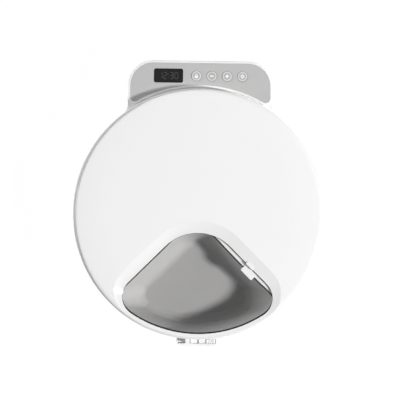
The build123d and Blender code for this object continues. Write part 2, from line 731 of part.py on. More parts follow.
# Hub that carries the tray: keyed head, journal and a flatted stub for its gear
hub_seat = WELL_FLOOR + BUSH_FLANGE_THICKNESS + THRUST_GAP
stub_bottom = GEAR_BOTTOM + HUB_SCREW_SEAT + HUB_GEAR_WEB
with BuildPart() as drive_hub:
    with BuildSketch(level(hub_seat)):
        Circle(HUB_CORE)
        with PolarLocations(HUB_CORE, QUARTERS):
            Rectangle(2 * (HUB_KEY_REACH - HUB_CORE), HUB_KEY_WIDTH)
    extrude(amount=HUB_TOP - hub_seat)
    chamfer(drive_hub.edges().group_by(Axis.Z)[-1], HUB_CHAMFER)
    with BuildSketch(level(BOSS_BOTTOM - FIT / 2)):
        Circle(JOURNAL_RADIUS)
    extrude(amount=hub_seat - BOSS_BOTTOM + FIT / 2)
    with BuildSketch(level(stub_bottom)):
        d_section(STUB_RADIUS, STUB_FLAT)
    extrude(amount=BOSS_BOTTOM - FIT / 2 - stub_bottom)
    with BuildSketch(level(stub_bottom)):
        Circle(HUB_SCREW_RADIUS + PRESS)
    extrude(amount=SCREW_LENGTH + CUT_MARGIN, mode=Mode.SUBTRACT)
drive_hub.part.label = "drive_hub"
export_step(drive_hub.part, "parts/drive_hub.step")

# Hub gear, with a collar under the boss and pockets for the magnets
with BuildPart() as hub_gear:
    with BuildSketch(level(GEAR_BOTTOM)):
        gear_outline(TEETH_HUB, 0)
    extrude(amount=GEAR_FACE)
    with BuildSketch(level(GEAR_TOP)):
        Circle(COLLAR_RADIUS)
    extrude(amount=BOSS_BOTTOM - FIT / 2 - PRESS - GEAR_TOP)
    with BuildSketch(level(stub_bottom - PRESS)):
        d_section(STUB_RADIUS + PRESS, STUB_FLAT)
    extrude(amount=BOSS_BOTTOM, mode=Mode.SUBTRACT)
    with BuildSketch(level(GEAR_BOTTOM)):
        Circle(HUB_SCREW_RADIUS + PRESS)
    extrude(amount=GEAR_FACE, mode=Mode.SUBTRACT)
    with BuildSketch(level(GEAR_BOTTOM)):
        Circle(HUB_SCREW_HEAD + PRESS)
    extrude(amount=HUB_SCREW_SEAT, mode=Mode.SUBTRACT)
    with BuildSketch(level(GEAR_TOP)):
        with Locations(*magnet_places):
            Circle(MAGNET_RADIUS + PRESS)
    extrude(amount=-MAGNET_THICKNESS, mode=Mode.SUBTRACT)
hub_gear.part.label = "hub_gear"
export_step(hub_gear.part, "parts/hub_gear.step")

with BuildPart() as hub_screw:
    with BuildSketch(level(GEAR_BOTTOM - HUB_SCREW_PROUD)):
        Circle(HUB_SCREW_HEAD)
    extrude(amount=HUB_SCREW_PROUD + HUB_SCREW_SEAT)
    with BuildSketch(level(GEAR_BOTTOM - HUB_SCREW_PROUD)):
        Rectangle(HUB_SCREW_HEAD, HUB_SCREW_SLOT)
        Rectangle(HUB_SCREW_SLOT, HUB_SCREW_HEAD)
    extrude(amount=HUB_SCREW_RECESS, mode=Mode.SUBTRACT)
    with BuildSketch(level(GEAR_BOTTOM + HUB_SCREW_SEAT)):
        Circle(HUB_SCREW_RADIUS)
    extrude(amount=SCREW_LENGTH)
hub_screw.part.label = "hub_screw"
export_step(hub_screw.part, "parts/hub_screw.step")

with BuildPart() as index_magnets:
    with BuildSketch(level(GEAR_TOP)):
        with Locations(*magnet_places):
            Circle(MAGNET_RADIUS)
    extrude(amount=-MAGNET_THICKNESS)
index_magnets.part.label = "index_magnets"
export_step(index_magnets.part, "parts/index_magnets.step")

# Index board on two pegs, its sensor just over the magnets
with BuildPart() as index_board:
    with BuildSketch(level(index_board_bottom)):
        with Locations((0, index_board_y)):
            Rectangle(*INDEX_BOARD_SIZE)
        with Locations(*index_pegs):
            Circle(INDEX_PEG + RUNNING, mode=Mode.SUBTRACT)
        Circle(BOSS_RADIUS + FIT, mode=Mode.SUBTRACT)
    extrude(amount=BOARD_THICKNESS)
    with BuildSketch(level(index_board_bottom)):
        with Locations((0, MAGNET_PLACE)):
            Rectangle(*SENSOR_SIZE)
    extrude(amount=-SENSOR_THICKNESS)
index_board.part.label = "index_board"
export_step(index_board.part, "parts/index_board.step")

# Idler gear on its steel pin
with BuildPart() as idler_pin:
    with BuildSketch(level(GEAR_BOTTOM - PIN_HEAD_THICKNESS - FIT / 2)):
        with Locations((IDLER_X, 0)):
            Circle(PIN_HEAD)
    extrude(amount=PIN_HEAD_THICKNESS)
    with BuildSketch(level(GEAR_BOTTOM - FIT / 2)):
        with Locations((IDLER_X, 0)):
            Circle(SHAFT_RADIUS)
    extrude(amount=WELL_UNDERSIDE - GEAR_BOTTOM - IDLER_PIN_SEAT - FIT)
idler_pin.part.label = "idler_pin"
export_step(idler_pin.part, "parts/idler_pin.step")

with BuildPart() as idler_gear:
    with BuildSketch(Plane(origin=(IDLER_X, AXIS_Y, GEAR_BOTTOM))):
        gear_outline(TEETH_IDLER, 0.5)
        Circle(SHAFT_RADIUS + RUNNING, mode=Mode.SUBTRACT)
    extrude(amount=GEAR_FACE)
idler_gear.part.label = "idler_gear"
export_step(idler_gear.part, "parts/idler_gear.step")

# Drive pinion on the motor's output shaft
with BuildPart() as drive_pinion:
    with BuildSketch(Plane(origin=(PINION_X, AXIS_Y, GEAR_BOTTOM))):
        gear_outline(TEETH_PINION, 0)
        Circle(SHAFT_RADIUS + PRESS, mode=Mode.SUBTRACT)
    extrude(amount=GEAR_FACE)
drive_pinion.part.label = "drive_pinion"
export_step(drive_pinion.part, "parts/drive_pinion.step")

with BuildPart() as output_shaft:
    with BuildSketch(level(GEAR_BOTTOM)):
        with Locations((PINION_X, 0)):
            Circle(SHAFT_RADIUS)
    extrude(amount=GEAR_FACE + MOTOR_GAP + SHAFT_ENGAGE - FIT)
output_shaft.part.label = "output_shaft"
export_step(output_shaft.part, "parts/output_shaft.step")

# Gear motor: flat gearbox with two ears, and a flatted can behind it
with BuildPart() as gear_motor:
    with BuildSketch(level(gearbox_bottom)) as gearbox:
        with Locations((gearbox_x, 0)):
            RectangleRounded(*GEARBOX_SIZE, GEARBOX_CORNER)
    extrude(amount=WELL_UNDERSIDE - gearbox_bottom)
    with BuildSketch(level(gearbox_bottom)):
        with Locations(*motor_posts):
            Circle(MOTOR_POST_RADIUS + MOTOR_EAR_MARGIN)
        with Locations((gearbox_x, 0)):
            Rectangle(2 * MOTOR_POST_RADIUS, 2 * MOTOR_POST_SPREAD)
        with Locations(*motor_posts):
            Circle(SCREW_RADIUS + RUNNING, mode=Mode.SUBTRACT)
    extrude(amount=MOTOR_EAR_THICKNESS)
    can_start = gearbox_x - GEARBOX_SIZE[0] / 2
    with BuildSketch(
        Plane(
            origin=(can_start, AXIS_Y, WELL_UNDERSIDE - CAN_FLAT / 2),
            x_dir=(0, 1, 0),
            z_dir=(-1, 0, 0),
        )
    ):
        Circle(CAN_RADIUS)
        Rectangle(2 * CAN_RADIUS, CAN_FLAT, mode=Mode.INTERSECT)
    extrude(amount=CAN_LENGTH)
    with BuildSketch(level(gearbox_bottom)):
        with Locations((PINION_X, 0)):
            Circle(SHAFT_RADIUS + RUNNING)
    extrude(amount=SHAFT_ENGAGE, mode=Mode.SUBTRACT)
gear_motor.part.label = "gear_motor"
export_step(gear_motor.part, "parts/gear_motor.step")

# Battery box, open to the door below
with BuildPart() as battery_box:
    with BuildSketch(level(PLATE_TOP + BAY_GAP)):
        with Locations((0, BATTERY_Y)):
            Rectangle(bay_length + 2 * BAY_WALL, bay_depth + 2 * BAY_WALL)
    extrude(amount=WELL_UNDERSIDE - PLATE_TOP - BAY_GAP)
    with BuildSketch(level(PLATE_TOP)):
        with Locations((0, BATTERY_Y)):
            Rectangle(bay_length, bay_depth)
            Rectangle(DIVIDER, bay_depth, mode=Mode.SUBTRACT)
    extrude(amount=WELL_UNDERSIDE - DIVIDER - PLATE_TOP, mode=Mode.SUBTRACT)
battery_box.part.label = "battery_box"
export_step(battery_box.part, "parts/battery_box.step")

cell_centre = (DIVIDER + cell_room) / 2
cell_rows = (BATTERY_Y - CELL_PITCH / 2, BATTERY_Y + CELL_PITCH / 2)
with BuildPart() as battery_cells:
    for side in (-1, 1):
        for row in cell_rows:
            start = Plane(
                origin=(side * (cell_centre - CELL_LENGTH / 2), AXIS_Y + row, cell_height),
                x_dir=(0, 1, 0),
                z_dir=(side, 0, 0),
            )
            with BuildSketch(start):
                Circle(CELL_RADIUS)
            extrude(amount=CELL_LENGTH - CELL_TIP)
            with BuildSketch(start.offset(CELL_LENGTH - CELL_TIP)):
                Circle(CELL_TIP_RADIUS)
            extrude(amount=CELL_TIP)
battery_cells.part.label = "battery_cells"
export_step(battery_cells.part, "parts/battery_cells.step")

with BuildPart() as battery_contacts:
    for side in (-1, 1):
        for row in cell_rows:
            for stand, facing in ((bay_length / 2, -side), (DIVIDER / 2, side)):
                plate = Plane(
                    origin=(side * stand, AXIS_Y + row, cell_height),
                    x_dir=(0, 1, 0),
                    z_dir=(facing, 0, 0),
                )
                with BuildSketch(plate):
                    RectangleRounded(CONTACT_SIZE, CONTACT_SIZE, CONTACT_CORNER)
                extrude(amount=CONTACT_THICKNESS)
                with BuildSketch(plate.offset(CONTACT_THICKNESS)):
                    Circle(CELL_TIP_RADIUS)
                extrude(amount=CONTACT_BUMP)
battery_contacts.part.label = "battery_contacts"
export_step(battery_contacts.part, "parts/battery_contacts.step")

# Battery door, flush in the plate and hinged on its rear lower edge
with BuildPart() as battery_door:
    with BuildSketch(level(FOOT_HEIGHT)):
        with Locations((0, BATTERY_Y)):
            Rectangle(*door_size)
    extrude(amount=PLATE_THICKNESS)
    with BuildSketch(level(FOOT_HEIGHT)):
        for groove in range(DOOR_GROOVES):
            groove_y = BATTERY_Y - door_size[1] / 2 + DOOR_GROOVE_START + DOOR_GROOVE_STEP[1] * groove
            with Locations((0, groove_y)):
                SlotOverall(DOOR_GROOVE_LENGTH - DOOR_GROOVE_STEP[0] * groove, DOOR_GROOVE_WIDTH)
    extrude(amount=DOOR_GROOVE_DEPTH, mode=Mode.SUBTRACT)
battery_door.part.label = "battery_door"
export_step(battery_door.part, "parts/battery_door.step")

# Console panel with openings for the display and buttons
with BuildPart() as console_panel:
    with BuildSketch(level(panel_bottom)) as panel_outline:
        console_outline(panel_outline, PANEL_BORDER)
        with Locations(*button_places):
            Circle(BUTTON_RADIUS + BUTTON_GAP, mode=Mode.SUBTRACT)
        with Locations((DISPLAY_X, CONTROL_Y)):
            RectangleRounded(
                *[size + 2 * PANEL_FIT for size in DISPLAY_SIZE],
                DISPLAY_CORNER + PANEL_FIT,
                mode=Mode.SUBTRACT,
            )
    extrude(amount=PANEL_THICKNESS)
console_panel.part.label = "console_panel"
export_step(console_panel.part, "parts/console_panel.step")

with BuildPart() as display_lens:
    with BuildSketch(level(panel_bottom)):
        with Locations((DISPLAY_X, CONTROL_Y)):
            RectangleRounded(*DISPLAY_SIZE, DISPLAY_CORNER)
    extrude(amount=PANEL_THICKNESS)
display_lens.part.label = "display_lens"
export_step(display_lens.part, "parts/display_lens.step")

# Four buttons, each with a flange under the panel and a stem over its switch
stem_bottom = MAIN_BOARD_TOP + SWITCH_HEIGHT + PLUNGER_HEIGHT + BUTTON_TRAVEL + BUTTON_GAP
for place, name in zip(button_places, BUTTON_NAMES):
    with BuildPart() as button:
        with BuildSketch(level(panel_bottom - BUTTON_GAP)):
            with Locations(place):
                Circle(BUTTON_RADIUS)
        extrude(amount=PANEL_THICKNESS + BUTTON_GAP + BUTTON_PROUD)
        fillet(button.edges().group_by(Axis.Z)[-1], BUTTON_ROUND)
        with BuildSketch(level(panel_bottom - BUTTON_GAP)):
            with Locations(place):
                Circle(BUTTON_FLANGE)
        extrude(amount=-BUTTON_FLANGE_THICKNESS)
        with BuildSketch(level(stem_bottom)):
            with Locations(place):
                Circle(BUTTON_STEM)
        extrude(until=Until.NEXT)
    button.part.label = name
    export_step(button.part, f"parts/{name}.step")

# Main board with its switches and the display module
with BuildPart() as main_board:
    with BuildSketch(level(MAIN_BOARD_TOP)):
        with Locations((0, board_middle)):
            Rectangle(2 * MAIN_BOARD_HALF, MAIN_BOARD_DEPTH[1] - MAIN_BOARD_DEPTH[0])
        with Locations(*board_posts):
            Circle(SCREW_RADIUS + FIT, mode=Mode.SUBTRACT)
    extrude(amount=-BOARD_THICKNESS)
    with BuildSketch(level(MAIN_BOARD_TOP - BOARD_THICKNESS)):
        for chip_x, chip_y, chip_width, chip_depth in MAIN_CHIPS:
            with Locations((chip_x, board_middle + chip_y)):
                Rectangle(chip_width, chip_depth)
    extrude(amount=-CHIP_HEIGHT)
main_board.part.label = "main_board"
export_step(main_board.part, "parts/main_board.step")

with BuildPart() as tact_switches:
    with BuildSketch(level(MAIN_BOARD_TOP)):
        with Locations(*button_places):
            Rectangle(SWITCH_SIZE, SWITCH_SIZE)
    extrude(amount=SWITCH_HEIGHT)
    with BuildSketch(level(MAIN_BOARD_TOP + SWITCH_HEIGHT)):
        with Locations(*button_places):
            Circle(SWITCH_PLUNGER)
    extrude(amount=PLUNGER_HEIGHT)
tact_switches.part.label = "tact_switches"
export_step(tact_switches.part, "parts/tact_switches.step")

with BuildPart() as display_module:
    with BuildSketch(level(MAIN_BOARD_TOP)):
        with Locations((DISPLAY_X, CONTROL_Y)):
            Rectangle(*[size - 2 * DISPLAY_LEDGE - FIT for size in DISPLAY_SIZE])
    extrude(amount=panel_bottom - MAIN_BOARD_TOP - FIT)
display_module.part.label = "display_module"
export_step(display_module.part, "parts/display_module.step")

# Speaker over its grille
with BuildPart() as speaker:
    with BuildSketch(level(PLATE_TOP)):
        with Locations(SPEAKER_PLACE):
            Circle(SPEAKER_RADIUS)
            Circle(SPEAKER_RADIUS - SPEAKER_RIM[0], mode=Mode.SUBTRACT)
    extrude(amount=SPEAKER_THICKNESS)
    with BuildSketch(level(PLATE_TOP + SPEAKER_RIM[1])):
        with Locations(SPEAKER_PLACE):
            Circle(SPEAKER_RADIUS - SPEAKER_RIM[0] / 2)
    extrude(amount=SPEAKER_THICKNESS - SPEAKER_RIM[1])
    with BuildSketch(level(PLATE_TOP + SPEAKER_THICKNESS)):
        with Locations(SPEAKER_PLACE):
            Circle(SPEAKER_MAGNET[0])
    extrude(amount=SPEAKER_MAGNET[1])
speaker.part.label = "speaker"
export_step(speaker.part, "parts/speaker.step")

# Mains adaptor inlet in the rear wall
jack_face = CONSOLE_REACH - lean(JACK_HEIGHT)
with BuildPart() as dc_jack:
    with BuildSketch(Plane.XZ.offset(-(AXIS_Y + jack_face))):
        with Locations((JACK_X, JACK_HEIGHT)):
            Circle(JACK_NOSE)
    extrude(amount=SHELL_WALL + FIT + ROOTING)
    with BuildSketch(Plane.XZ.offset(-(AXIS_Y + jack_face - SHELL_WALL - 2 * FIT))):
        with Locations((JACK_X, JACK_HEIGHT)):
            Rectangle(*JACK_BODY)
    extrude(amount=JACK_DEPTH - SHELL_WALL)
    with BuildSketch(Plane.XZ.offset(-(AXIS_Y + jack_face))):
        with Locations((JACK_X, JACK_HEIGHT)):
            Circle(JACK_BORE)
    extrude(amount=JACK_BORE_DEPTH, mode=Mode.SUBTRACT)
dc_jack.part.label = "dc_jack"
export_step(dc_jack.part, "parts/dc_jack.step")

# Lock bolt: tongue, carriage and ridged grip
with BuildPart() as lock_slider:
    tongue_front = LUG_FRONT - BOLT_WALL - FIT
    tongue_back = LUG_BACK + BOLT_WALL + FIT
    carriage_right = POCKET_HALF_WIDTH - BOLT_END_GAP
    pocket_middle = -(POCKET_BACK + POCKET_FRONT) / 2
    slider_depth = POCKET_FRONT - POCKET_BACK - FIT
    with BuildSketch(level(BOLT_WINDOW[0] + 2 * FIT)):
        with Locations(((BOLT_TIP + CARRIAGE_LEFT) / 2, -(tongue_front + tongue_back) / 2)):
            Rectangle(CARRIAGE_LEFT - BOLT_TIP, tongue_front - tongue_back)
    extrude(amount=BOLT_WINDOW[1] - BOLT_WINDOW[0] - 4 * FIT)
    with BuildSketch(level(POCKET_FLOOR + FIT)):
        with Locations(((CARRIAGE_LEFT + carriage_right) / 2, pocket_middle)):
            Rectangle(carriage_right - CARRIAGE_LEFT, slider_depth)
    extrude(amount=BOLT_WINDOW[1] - 2 * FIT - POCKET_FLOOR - FIT)
    with BuildSketch(level(POCKET_FLOOR + RAIL_HEIGHT + FIT / 2)):
        with Locations(((CARRIAGE_LEFT + carriage_right) / 2, pocket_middle)):
            Rectangle(carriage_right - CARRIAGE_LEFT, slider_depth + 2 * RAIL_DEPTH - FIT)
    extrude(amount=RAIL_HEIGHT - FIT)
    with BuildSketch(level(BOLT_WINDOW[1] - 3 * FIT)):
        with Locations(((GRIP_LEFT + carriage_right) / 2, pocket_middle)):
            Rectangle(carriage_right - GRIP_LEFT, slider_depth)
    extrude(amount=GRIP_TOP - BOLT_WINDOW[1] + 3 * FIT)
    fillet(lock_slider.edges().group_by(Axis.Z)[-1].filter_by(Axis.Y), GRIP_ROUND)
    with BuildSketch(level(GRIP_TOP)):
        for ridge in range(GRIP_RIDGES):
            x = (GRIP_LEFT + carriage_right) / 2 + (ridge - 1) * 2 * GRIP_RIDGE_WIDTH
            with Locations((x, pocket_middle)):
                Rectangle(GRIP_RIDGE_WIDTH, slider_depth)
    extrude(amount=-GRIP_RIDGE_DEPTH, mode=Mode.SUBTRACT)
lock_slider.part.label = "lock_slider"
export_step(lock_slider.part, "parts/lock_slider.step")

# Lid: the hollow under the dome, less the block that the window's surround is cut from
with BuildPart() as lid_hollow:
    with BuildSketch(Plane(origin=(0, AXIS_Y, 0), x_dir=(1, 0, 0), z_dir=(0, -1, 0))):
        with BuildLine():
            wall = LID_RADIUS - LID_WALL
            roof = LID_TOP - LID_WALL
            inner_dome = DOME_RADIUS - LID_WALL
            shoulder = dome_centre_height + sqrt(inner_dome**2 - (wall - DOME_START) ** 2)
            angle = acos((wall - DOME_START) / inner_dome) / 2 + pi / 4
            bend = (
                DOME_START + inner_dome * cos(angle),
                dome_centre_height + inner_dome * sin(angle),
            )
            Polyline((0, roof), (0, SEAM_HEIGHT - LIP_DEPTH), (lip_inner, SEAM_HEIGHT - LIP_DEPTH))
            Polyline(
                (lip_inner, SEAM_HEIGHT - LIP_DEPTH),
                (lip_inner, lid_bottom + LIP_THICKNESS),
                (wall, lid_bottom + LIP_THICKNESS + wall - lip_inner),
                (wall, shoulder),
            )
            ThreePointArc((wall, shoulder), bend, (DOME_START, roof))
            Line((DOME_START, roof), (0, roof))
        make_face()
    revolve(axis=Axis((0, AXIS_Y, 0), (0, 0, 1)))
    rise = LID_TOP - WINDOW_HEIGHT
    spread = SURROUND_WIDTH / rise
    for height in (WINDOW_HEIGHT - WINDOW_LIP, LID_TOP + CUT_MARGIN):
        with BuildSketch(level(height)) as outline:
            window_outline(outline, SURROUND_WALL + spread * (height - WINDOW_HEIGHT + WINDOW_LIP))
    loft(ruled=True, mode=Mode.SUBTRACT)

# The sloping window opening, less the finger hood on its right
hood_middle = (HOOD_IN - HOOD_OUT) / 2
with BuildPart() as window_opening:
    for height in (WINDOW_HEIGHT, LID_TOP + CUT_MARGIN):
        with BuildSketch(level(height)) as outline:
            window_outline(outline, spread * (height - WINDOW_HEIGHT))
    loft(ruled=True)
    with BuildSketch(level(WINDOW_HEIGHT - 2 * WINDOW_LIP)) as outline:
        window_outline(outline, 0)
    extrude(amount=2 * WINDOW_LIP)
with BuildPart() as hood:
    with BuildSketch(land_plane(HOOD_ALONG, hood_middle, WINDOW_HEIGHT - WINDOW_LIP)):
        Rectangle(HOOD_LENGTH, HOOD_IN + HOOD_OUT)
    extrude(amount=HOOD_HEIGHT)
    fillet(hood.edges().group_by(Axis.Z)[-1] + hood.edges().filter_by(Axis.Z), HOOD_ROUND)
with BuildPart() as hood_space:
    with BuildSketch(land_plane(HOOD_ALONG, hood_middle + HOOD_WALL, WINDOW_HEIGHT - 2 * WINDOW_LIP)):
        Rectangle(HOOD_LENGTH - 2 * HOOD_WALL, HOOD_IN + HOOD_OUT)
    extrude(amount=HOOD_HEIGHT + WINDOW_LIP - HOOD_WALL)

with BuildPart() as lid_shell:
    with BuildSketch(Plane(origin=(0, AXIS_Y, 0), x_dir=(1, 0, 0), z_dir=(0, -1, 0))) as profile:
        with BuildLine():
            shoulder = dome_centre_height + sqrt(DOME_RADIUS**2 - (LID_RADIUS - DOME_START) ** 2)
            angle = acos((LID_RADIUS - DOME_START) / DOME_RADIUS) / 2 + pi / 4
            bend = (
                DOME_START + DOME_RADIUS * cos(angle),
                dome_centre_height + DOME_RADIUS * sin(angle),
            )
            Polyline(
                (0, LID_TOP),
                (0, SEAM_HEIGHT - LIP_DEPTH),
                (lip_outer, SEAM_HEIGHT - LIP_DEPTH),
                (lip_outer, lid_bottom),
                (LID_RADIUS, lid_bottom),
                (LID_RADIUS, shoulder),
            )
            ThreePointArc((LID_RADIUS, shoulder), bend, (DOME_START, LID_TOP))
            Line((DOME_START, LID_TOP), (0, LID_TOP))
        make_face()
        rim_corner = profile.vertices().filter_by(lambda v: abs(v.Y - shoulder) < TOLERANCE)
        fillet(rim_corner, DOME_EDGE)
    revolve(axis=Axis((0, AXIS_Y, 0), (0, 0, 1)))
    add(lid_hollow.part, mode=Mode.SUBTRACT)
    add(window_opening.part - hood.part, mode=Mode.SUBTRACT)
    add(hood_space.part, mode=Mode.SUBTRACT)
    # Catch lug that drops into the lock boss, with a window for the bolt
    with BuildSketch(level(lid_bottom)):
        with Locations((LUG_LEFT + LUG_WIDTH / 2, -(LUG_ROOT + LUG_FRONT) / 2)):
            Rectangle(LUG_WIDTH, LUG_FRONT - LUG_ROOT)
    extrude(amount=LUG_TOP - lid_bottom)
    with BuildSketch(level(LUG_BOTTOM)):
        with Locations((LUG_LEFT + LUG_WIDTH / 2, -(LUG_BACK + LUG_FRONT) / 2)):
            Rectangle(LUG_WIDTH, LUG_FRONT - LUG_BACK)
    extrude(amount=lid_bottom - LUG_BOTTOM)
    with BuildSketch(level(BOLT_WINDOW[0])):
        with Locations((LUG_LEFT + LUG_WIDTH / 2, -(LUG_BACK + LUG_FRONT) / 2)):
            Rectangle(LUG_WIDTH, LUG_FRONT - LUG_BACK - 2 * BOLT_WALL)
    extrude(amount=BOLT_WINDOW[1] - BOLT_WINDOW[0], mode=Mode.SUBTRACT)
    # Cover beside the lug, over the space that the bolt slides into
    cover_left = LUG_GAP - POCKET_HALF_WIDTH
    with BuildSketch(level(BOLT_WINDOW[1] + LUG_COVER_GAP)):
        with Locations(((cover_left + LUG_LEFT) / 2, -(LUG_BACK + LUG_FRONT) / 2)):
            Rectangle(LUG_LEFT - cover_left, LUG_FRONT - LUG_BACK)
    extrude(amount=LUG_COVER_THICKNESS)
lid_shell.part.label = "lid_shell"
export_step(lid_shell.part, "parts/lid_shell.step")

# Tray carrier: deck with four openings, a skirt, ribs and the keyed socket
with BuildPart() as tray_carrier:
    with BuildSketch(level(deck_bottom)):
        Circle(DECK_RADIUS)
    extrude(amount=DECK_THICKNESS)
    with BuildSketch(level(deck_bottom - DECK_SKIRT)):
        Circle(DECK_RADIUS)
        Circle(DECK_RADIUS - SKIRT_WALL, mode=Mode.SUBTRACT)
    extrude(amount=DECK_SKIRT)
    with BuildSketch(level(HUB_TOP)):
        Circle(SOCKET_RADIUS)
    extrude(amount=SOCKET_ROOF)
    with BuildSketch(level(SOCKET_BOTTOM)):
        Circle(SOCKET_RADIUS)
        Circle(HUB_CORE + FIT, mode=Mode.SUBTRACT)
        with PolarLocations(HUB_CORE, QUARTERS):
            Rectangle(
                2 * (HUB_KEY_REACH + FIT - HUB_CORE), HUB_KEY_WIDTH + 2 * FIT, mode=Mode.SUBTRACT
            )
    extrude(amount=HUB_TOP - SOCKET_BOTTOM)
    with BuildSketch(level(HUB_TOP + SOCKET_ROOF)):
        Circle(COLUMN_RADIUS)
    extrude(amount=deck_bottom - HUB_TOP - SOCKET_ROOF)
    rib_offset = (BOWL_RIGHT_GAP + BOWL_LEFT_GAP) / 2
    rib_reach = DECK_RADIUS - SKIRT_WALL / 2 - COLUMN_RADIUS / 2
    for quarter in range(QUARTERS):
        rib_plane = land_plane(
            COLUMN_RADIUS / 2 + rib_reach / 2, rib_offset, deck_bottom - RIB_DEPTH, quarter
        )
        with BuildSketch(rib_plane):
            Rectangle(rib_reach, RIB_THICKNESS)
        extrude(amount=RIB_DEPTH)
    for quarter in range(QUARTERS):
        with BuildSketch(level(deck_bottom, quarter)) as opening:
            bowl_outline(opening, LEDGE_WIDTH)
        extrude(amount=DECK_THICKNESS, mode=Mode.SUBTRACT)
        with BuildSketch(level(DECK_TOP, quarter)) as rebate:
            bowl_outline(rebate, -RIM_FIT)
        extrude(amount=-RIM_THICKNESS, mode=Mode.SUBTRACT)
        clip_seat = land_plane(CLIP_ALONG, CLIP_START + CLIP_TONGUE[1], DECK_TOP, quarter)
        with BuildSketch(clip_seat):
            Rectangle(CLIP_TONGUE[0] + 2 * PRESS, CLIP_TONGUE[1] + 2 * PRESS)
        extrude(amount=-DECK_THICKNESS, mode=Mode.SUBTRACT)
tray_carrier.part.label = "tray_carrier"
export_step(tray_carrier.part, "parts/tray_carrier.step")


def basin(height, outset, depth, floor_round, quarter):
    """Tapered basin with a rounded floor, hung from a rim plane."""
    narrowing = depth * tan(radians(BOWL_DRAFT))
    with BuildPart() as body:
        for drop, step, corner in ((0, 0, BASIN_CORNER), (depth, narrowing, FLOOR_CORNER)):
            with BuildSketch(level(height - drop, quarter)) as outline:
                bowl_outline(outline, RIM_WIDTH - outset + step, corner + RIM_WIDTH + step)
        loft(ruled=True)
        fillet(body.edges().group_by(Axis.Z)[0], floor_round)
    return body.part


# Bowls and the clips that hold them
for quarter in range(QUARTERS):
    wall_across = BOWL_WALL / cos(radians(BOWL_DRAFT))
    outside = basin(DECK_TOP, wall_across, BOWL_DEPTH + BOWL_WALL, BOWL_FLOOR_ROUND, quarter)
    inside = basin(DECK_TOP, 0, BOWL_DEPTH, BOWL_FLOOR_ROUND - BOWL_WALL, quarter)
    with BuildPart() as bowl:
        with BuildSketch(level(DECK_TOP, quarter)) as rim:
            bowl_outline(rim, 0)
        extrude(amount=-RIM_THICKNESS)
        add(outside)
        add(inside, mode=Mode.SUBTRACT)
    bowl.part.label = f"bowl_{quarter + 1}"
    export_step(bowl.part, f"parts/bowl_{quarter + 1}.step")

    with BuildPart() as bowl_clip:
        clip_middle = (CLIP_START + CLIP_TIP) / 2
        with BuildSketch(land_plane(CLIP_ALONG, clip_middle, DECK_TOP, quarter)):
            RectangleRounded(CLIP_LENGTH, CLIP_TIP - CLIP_START, CLIP_CORNER)
        extrude(amount=CLIP_THICKNESS)
        fillet(bowl_clip.edges().group_by(Axis.Z)[-1], CLIP_ROUND)
        clip_seat = land_plane(CLIP_ALONG, CLIP_START + CLIP_TONGUE[1], DECK_TOP, quarter)
        with BuildSketch(clip_seat):
            Rectangle(*CLIP_TONGUE)
        extrude(amount=-DECK_THICKNESS)
    bowl_clip.part.label = f"bowl_clip_{quarter + 1}"
    export_step(bowl_clip.part, f"parts/bowl_clip_{quarter + 1}.step")
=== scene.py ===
"""Looks of the rotating-tray pet feeder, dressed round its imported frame."""

import logging
import math
from collections.abc import Iterable, Sequence
from dataclasses import dataclass, replace
from enum import Enum

import bmesh
import bpy
from mathutils import Matrix, Vector


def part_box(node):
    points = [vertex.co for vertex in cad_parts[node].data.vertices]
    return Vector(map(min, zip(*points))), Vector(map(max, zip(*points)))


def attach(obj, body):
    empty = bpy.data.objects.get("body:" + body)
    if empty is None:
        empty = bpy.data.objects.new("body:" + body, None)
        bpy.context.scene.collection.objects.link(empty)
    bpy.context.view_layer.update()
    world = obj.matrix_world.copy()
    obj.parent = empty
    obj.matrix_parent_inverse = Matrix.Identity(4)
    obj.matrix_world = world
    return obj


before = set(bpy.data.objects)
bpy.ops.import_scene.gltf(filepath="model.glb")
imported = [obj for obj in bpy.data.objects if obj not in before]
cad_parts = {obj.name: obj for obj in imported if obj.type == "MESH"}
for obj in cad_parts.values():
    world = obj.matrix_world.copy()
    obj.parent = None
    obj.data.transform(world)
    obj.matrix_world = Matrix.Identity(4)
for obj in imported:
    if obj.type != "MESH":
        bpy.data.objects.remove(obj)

LOG = logging.getLogger("feeder")
MM = 0.001
WELD = 0.0005 * MM
SAME_POINT = 0.01 * MM
FULL_TURN = math.tau - 1e-6
UPRIGHT_SHARE = 0.9
CORNER_FACETS = 3
SMOOTH_ANGLE = math.radians(40.0)
UNIT = (0.0, 1.0)
MIDDLE_BAND = (0.3, 0.7)
EDGE_TURN = (0.995, 0.86)
EDGE_SAMPLES = 4
SEGMENTS: dict[str, str] = {"0": "abcdef", "1": "bc", "2": "abged", "3": "abgcd"}
Colour = tuple[float, float, float]
Socket = bpy.types.NodeSocket


class Body(Enum):
    """CAD bodies that new pieces ride on."""

    BASE = "base"
    LID = "lid"
    LOCK = "lock"
    LOCK_BUTTON = "button_lock"
    MINUS_BUTTON = "button_minus"
    PLUS_BUTTON = "button_plus"
    SET_BUTTON = "button_set"


class Turned(Enum):
    """Directions that a turned piece's axis may have."""

    ALONG_Y = (0.0, 1.0, 0.0)
    UPRIGHT = (0.0, 0.0, 1.0)


class Noise(Enum):
    """Kinds of noise: octaves, and the weight of the finer ones."""

    PLAIN = (3.0, 0.5)
    GRAIN = (2.0, 0.5)
    CLOUDS = (4.0, 0.55)
    RUBBING = (3.0, 0.6)
    STAINS = (4.0, 0.6)
    HANDLING = (5.0, 0.62)
    WAVES = (1.0, 0.4)


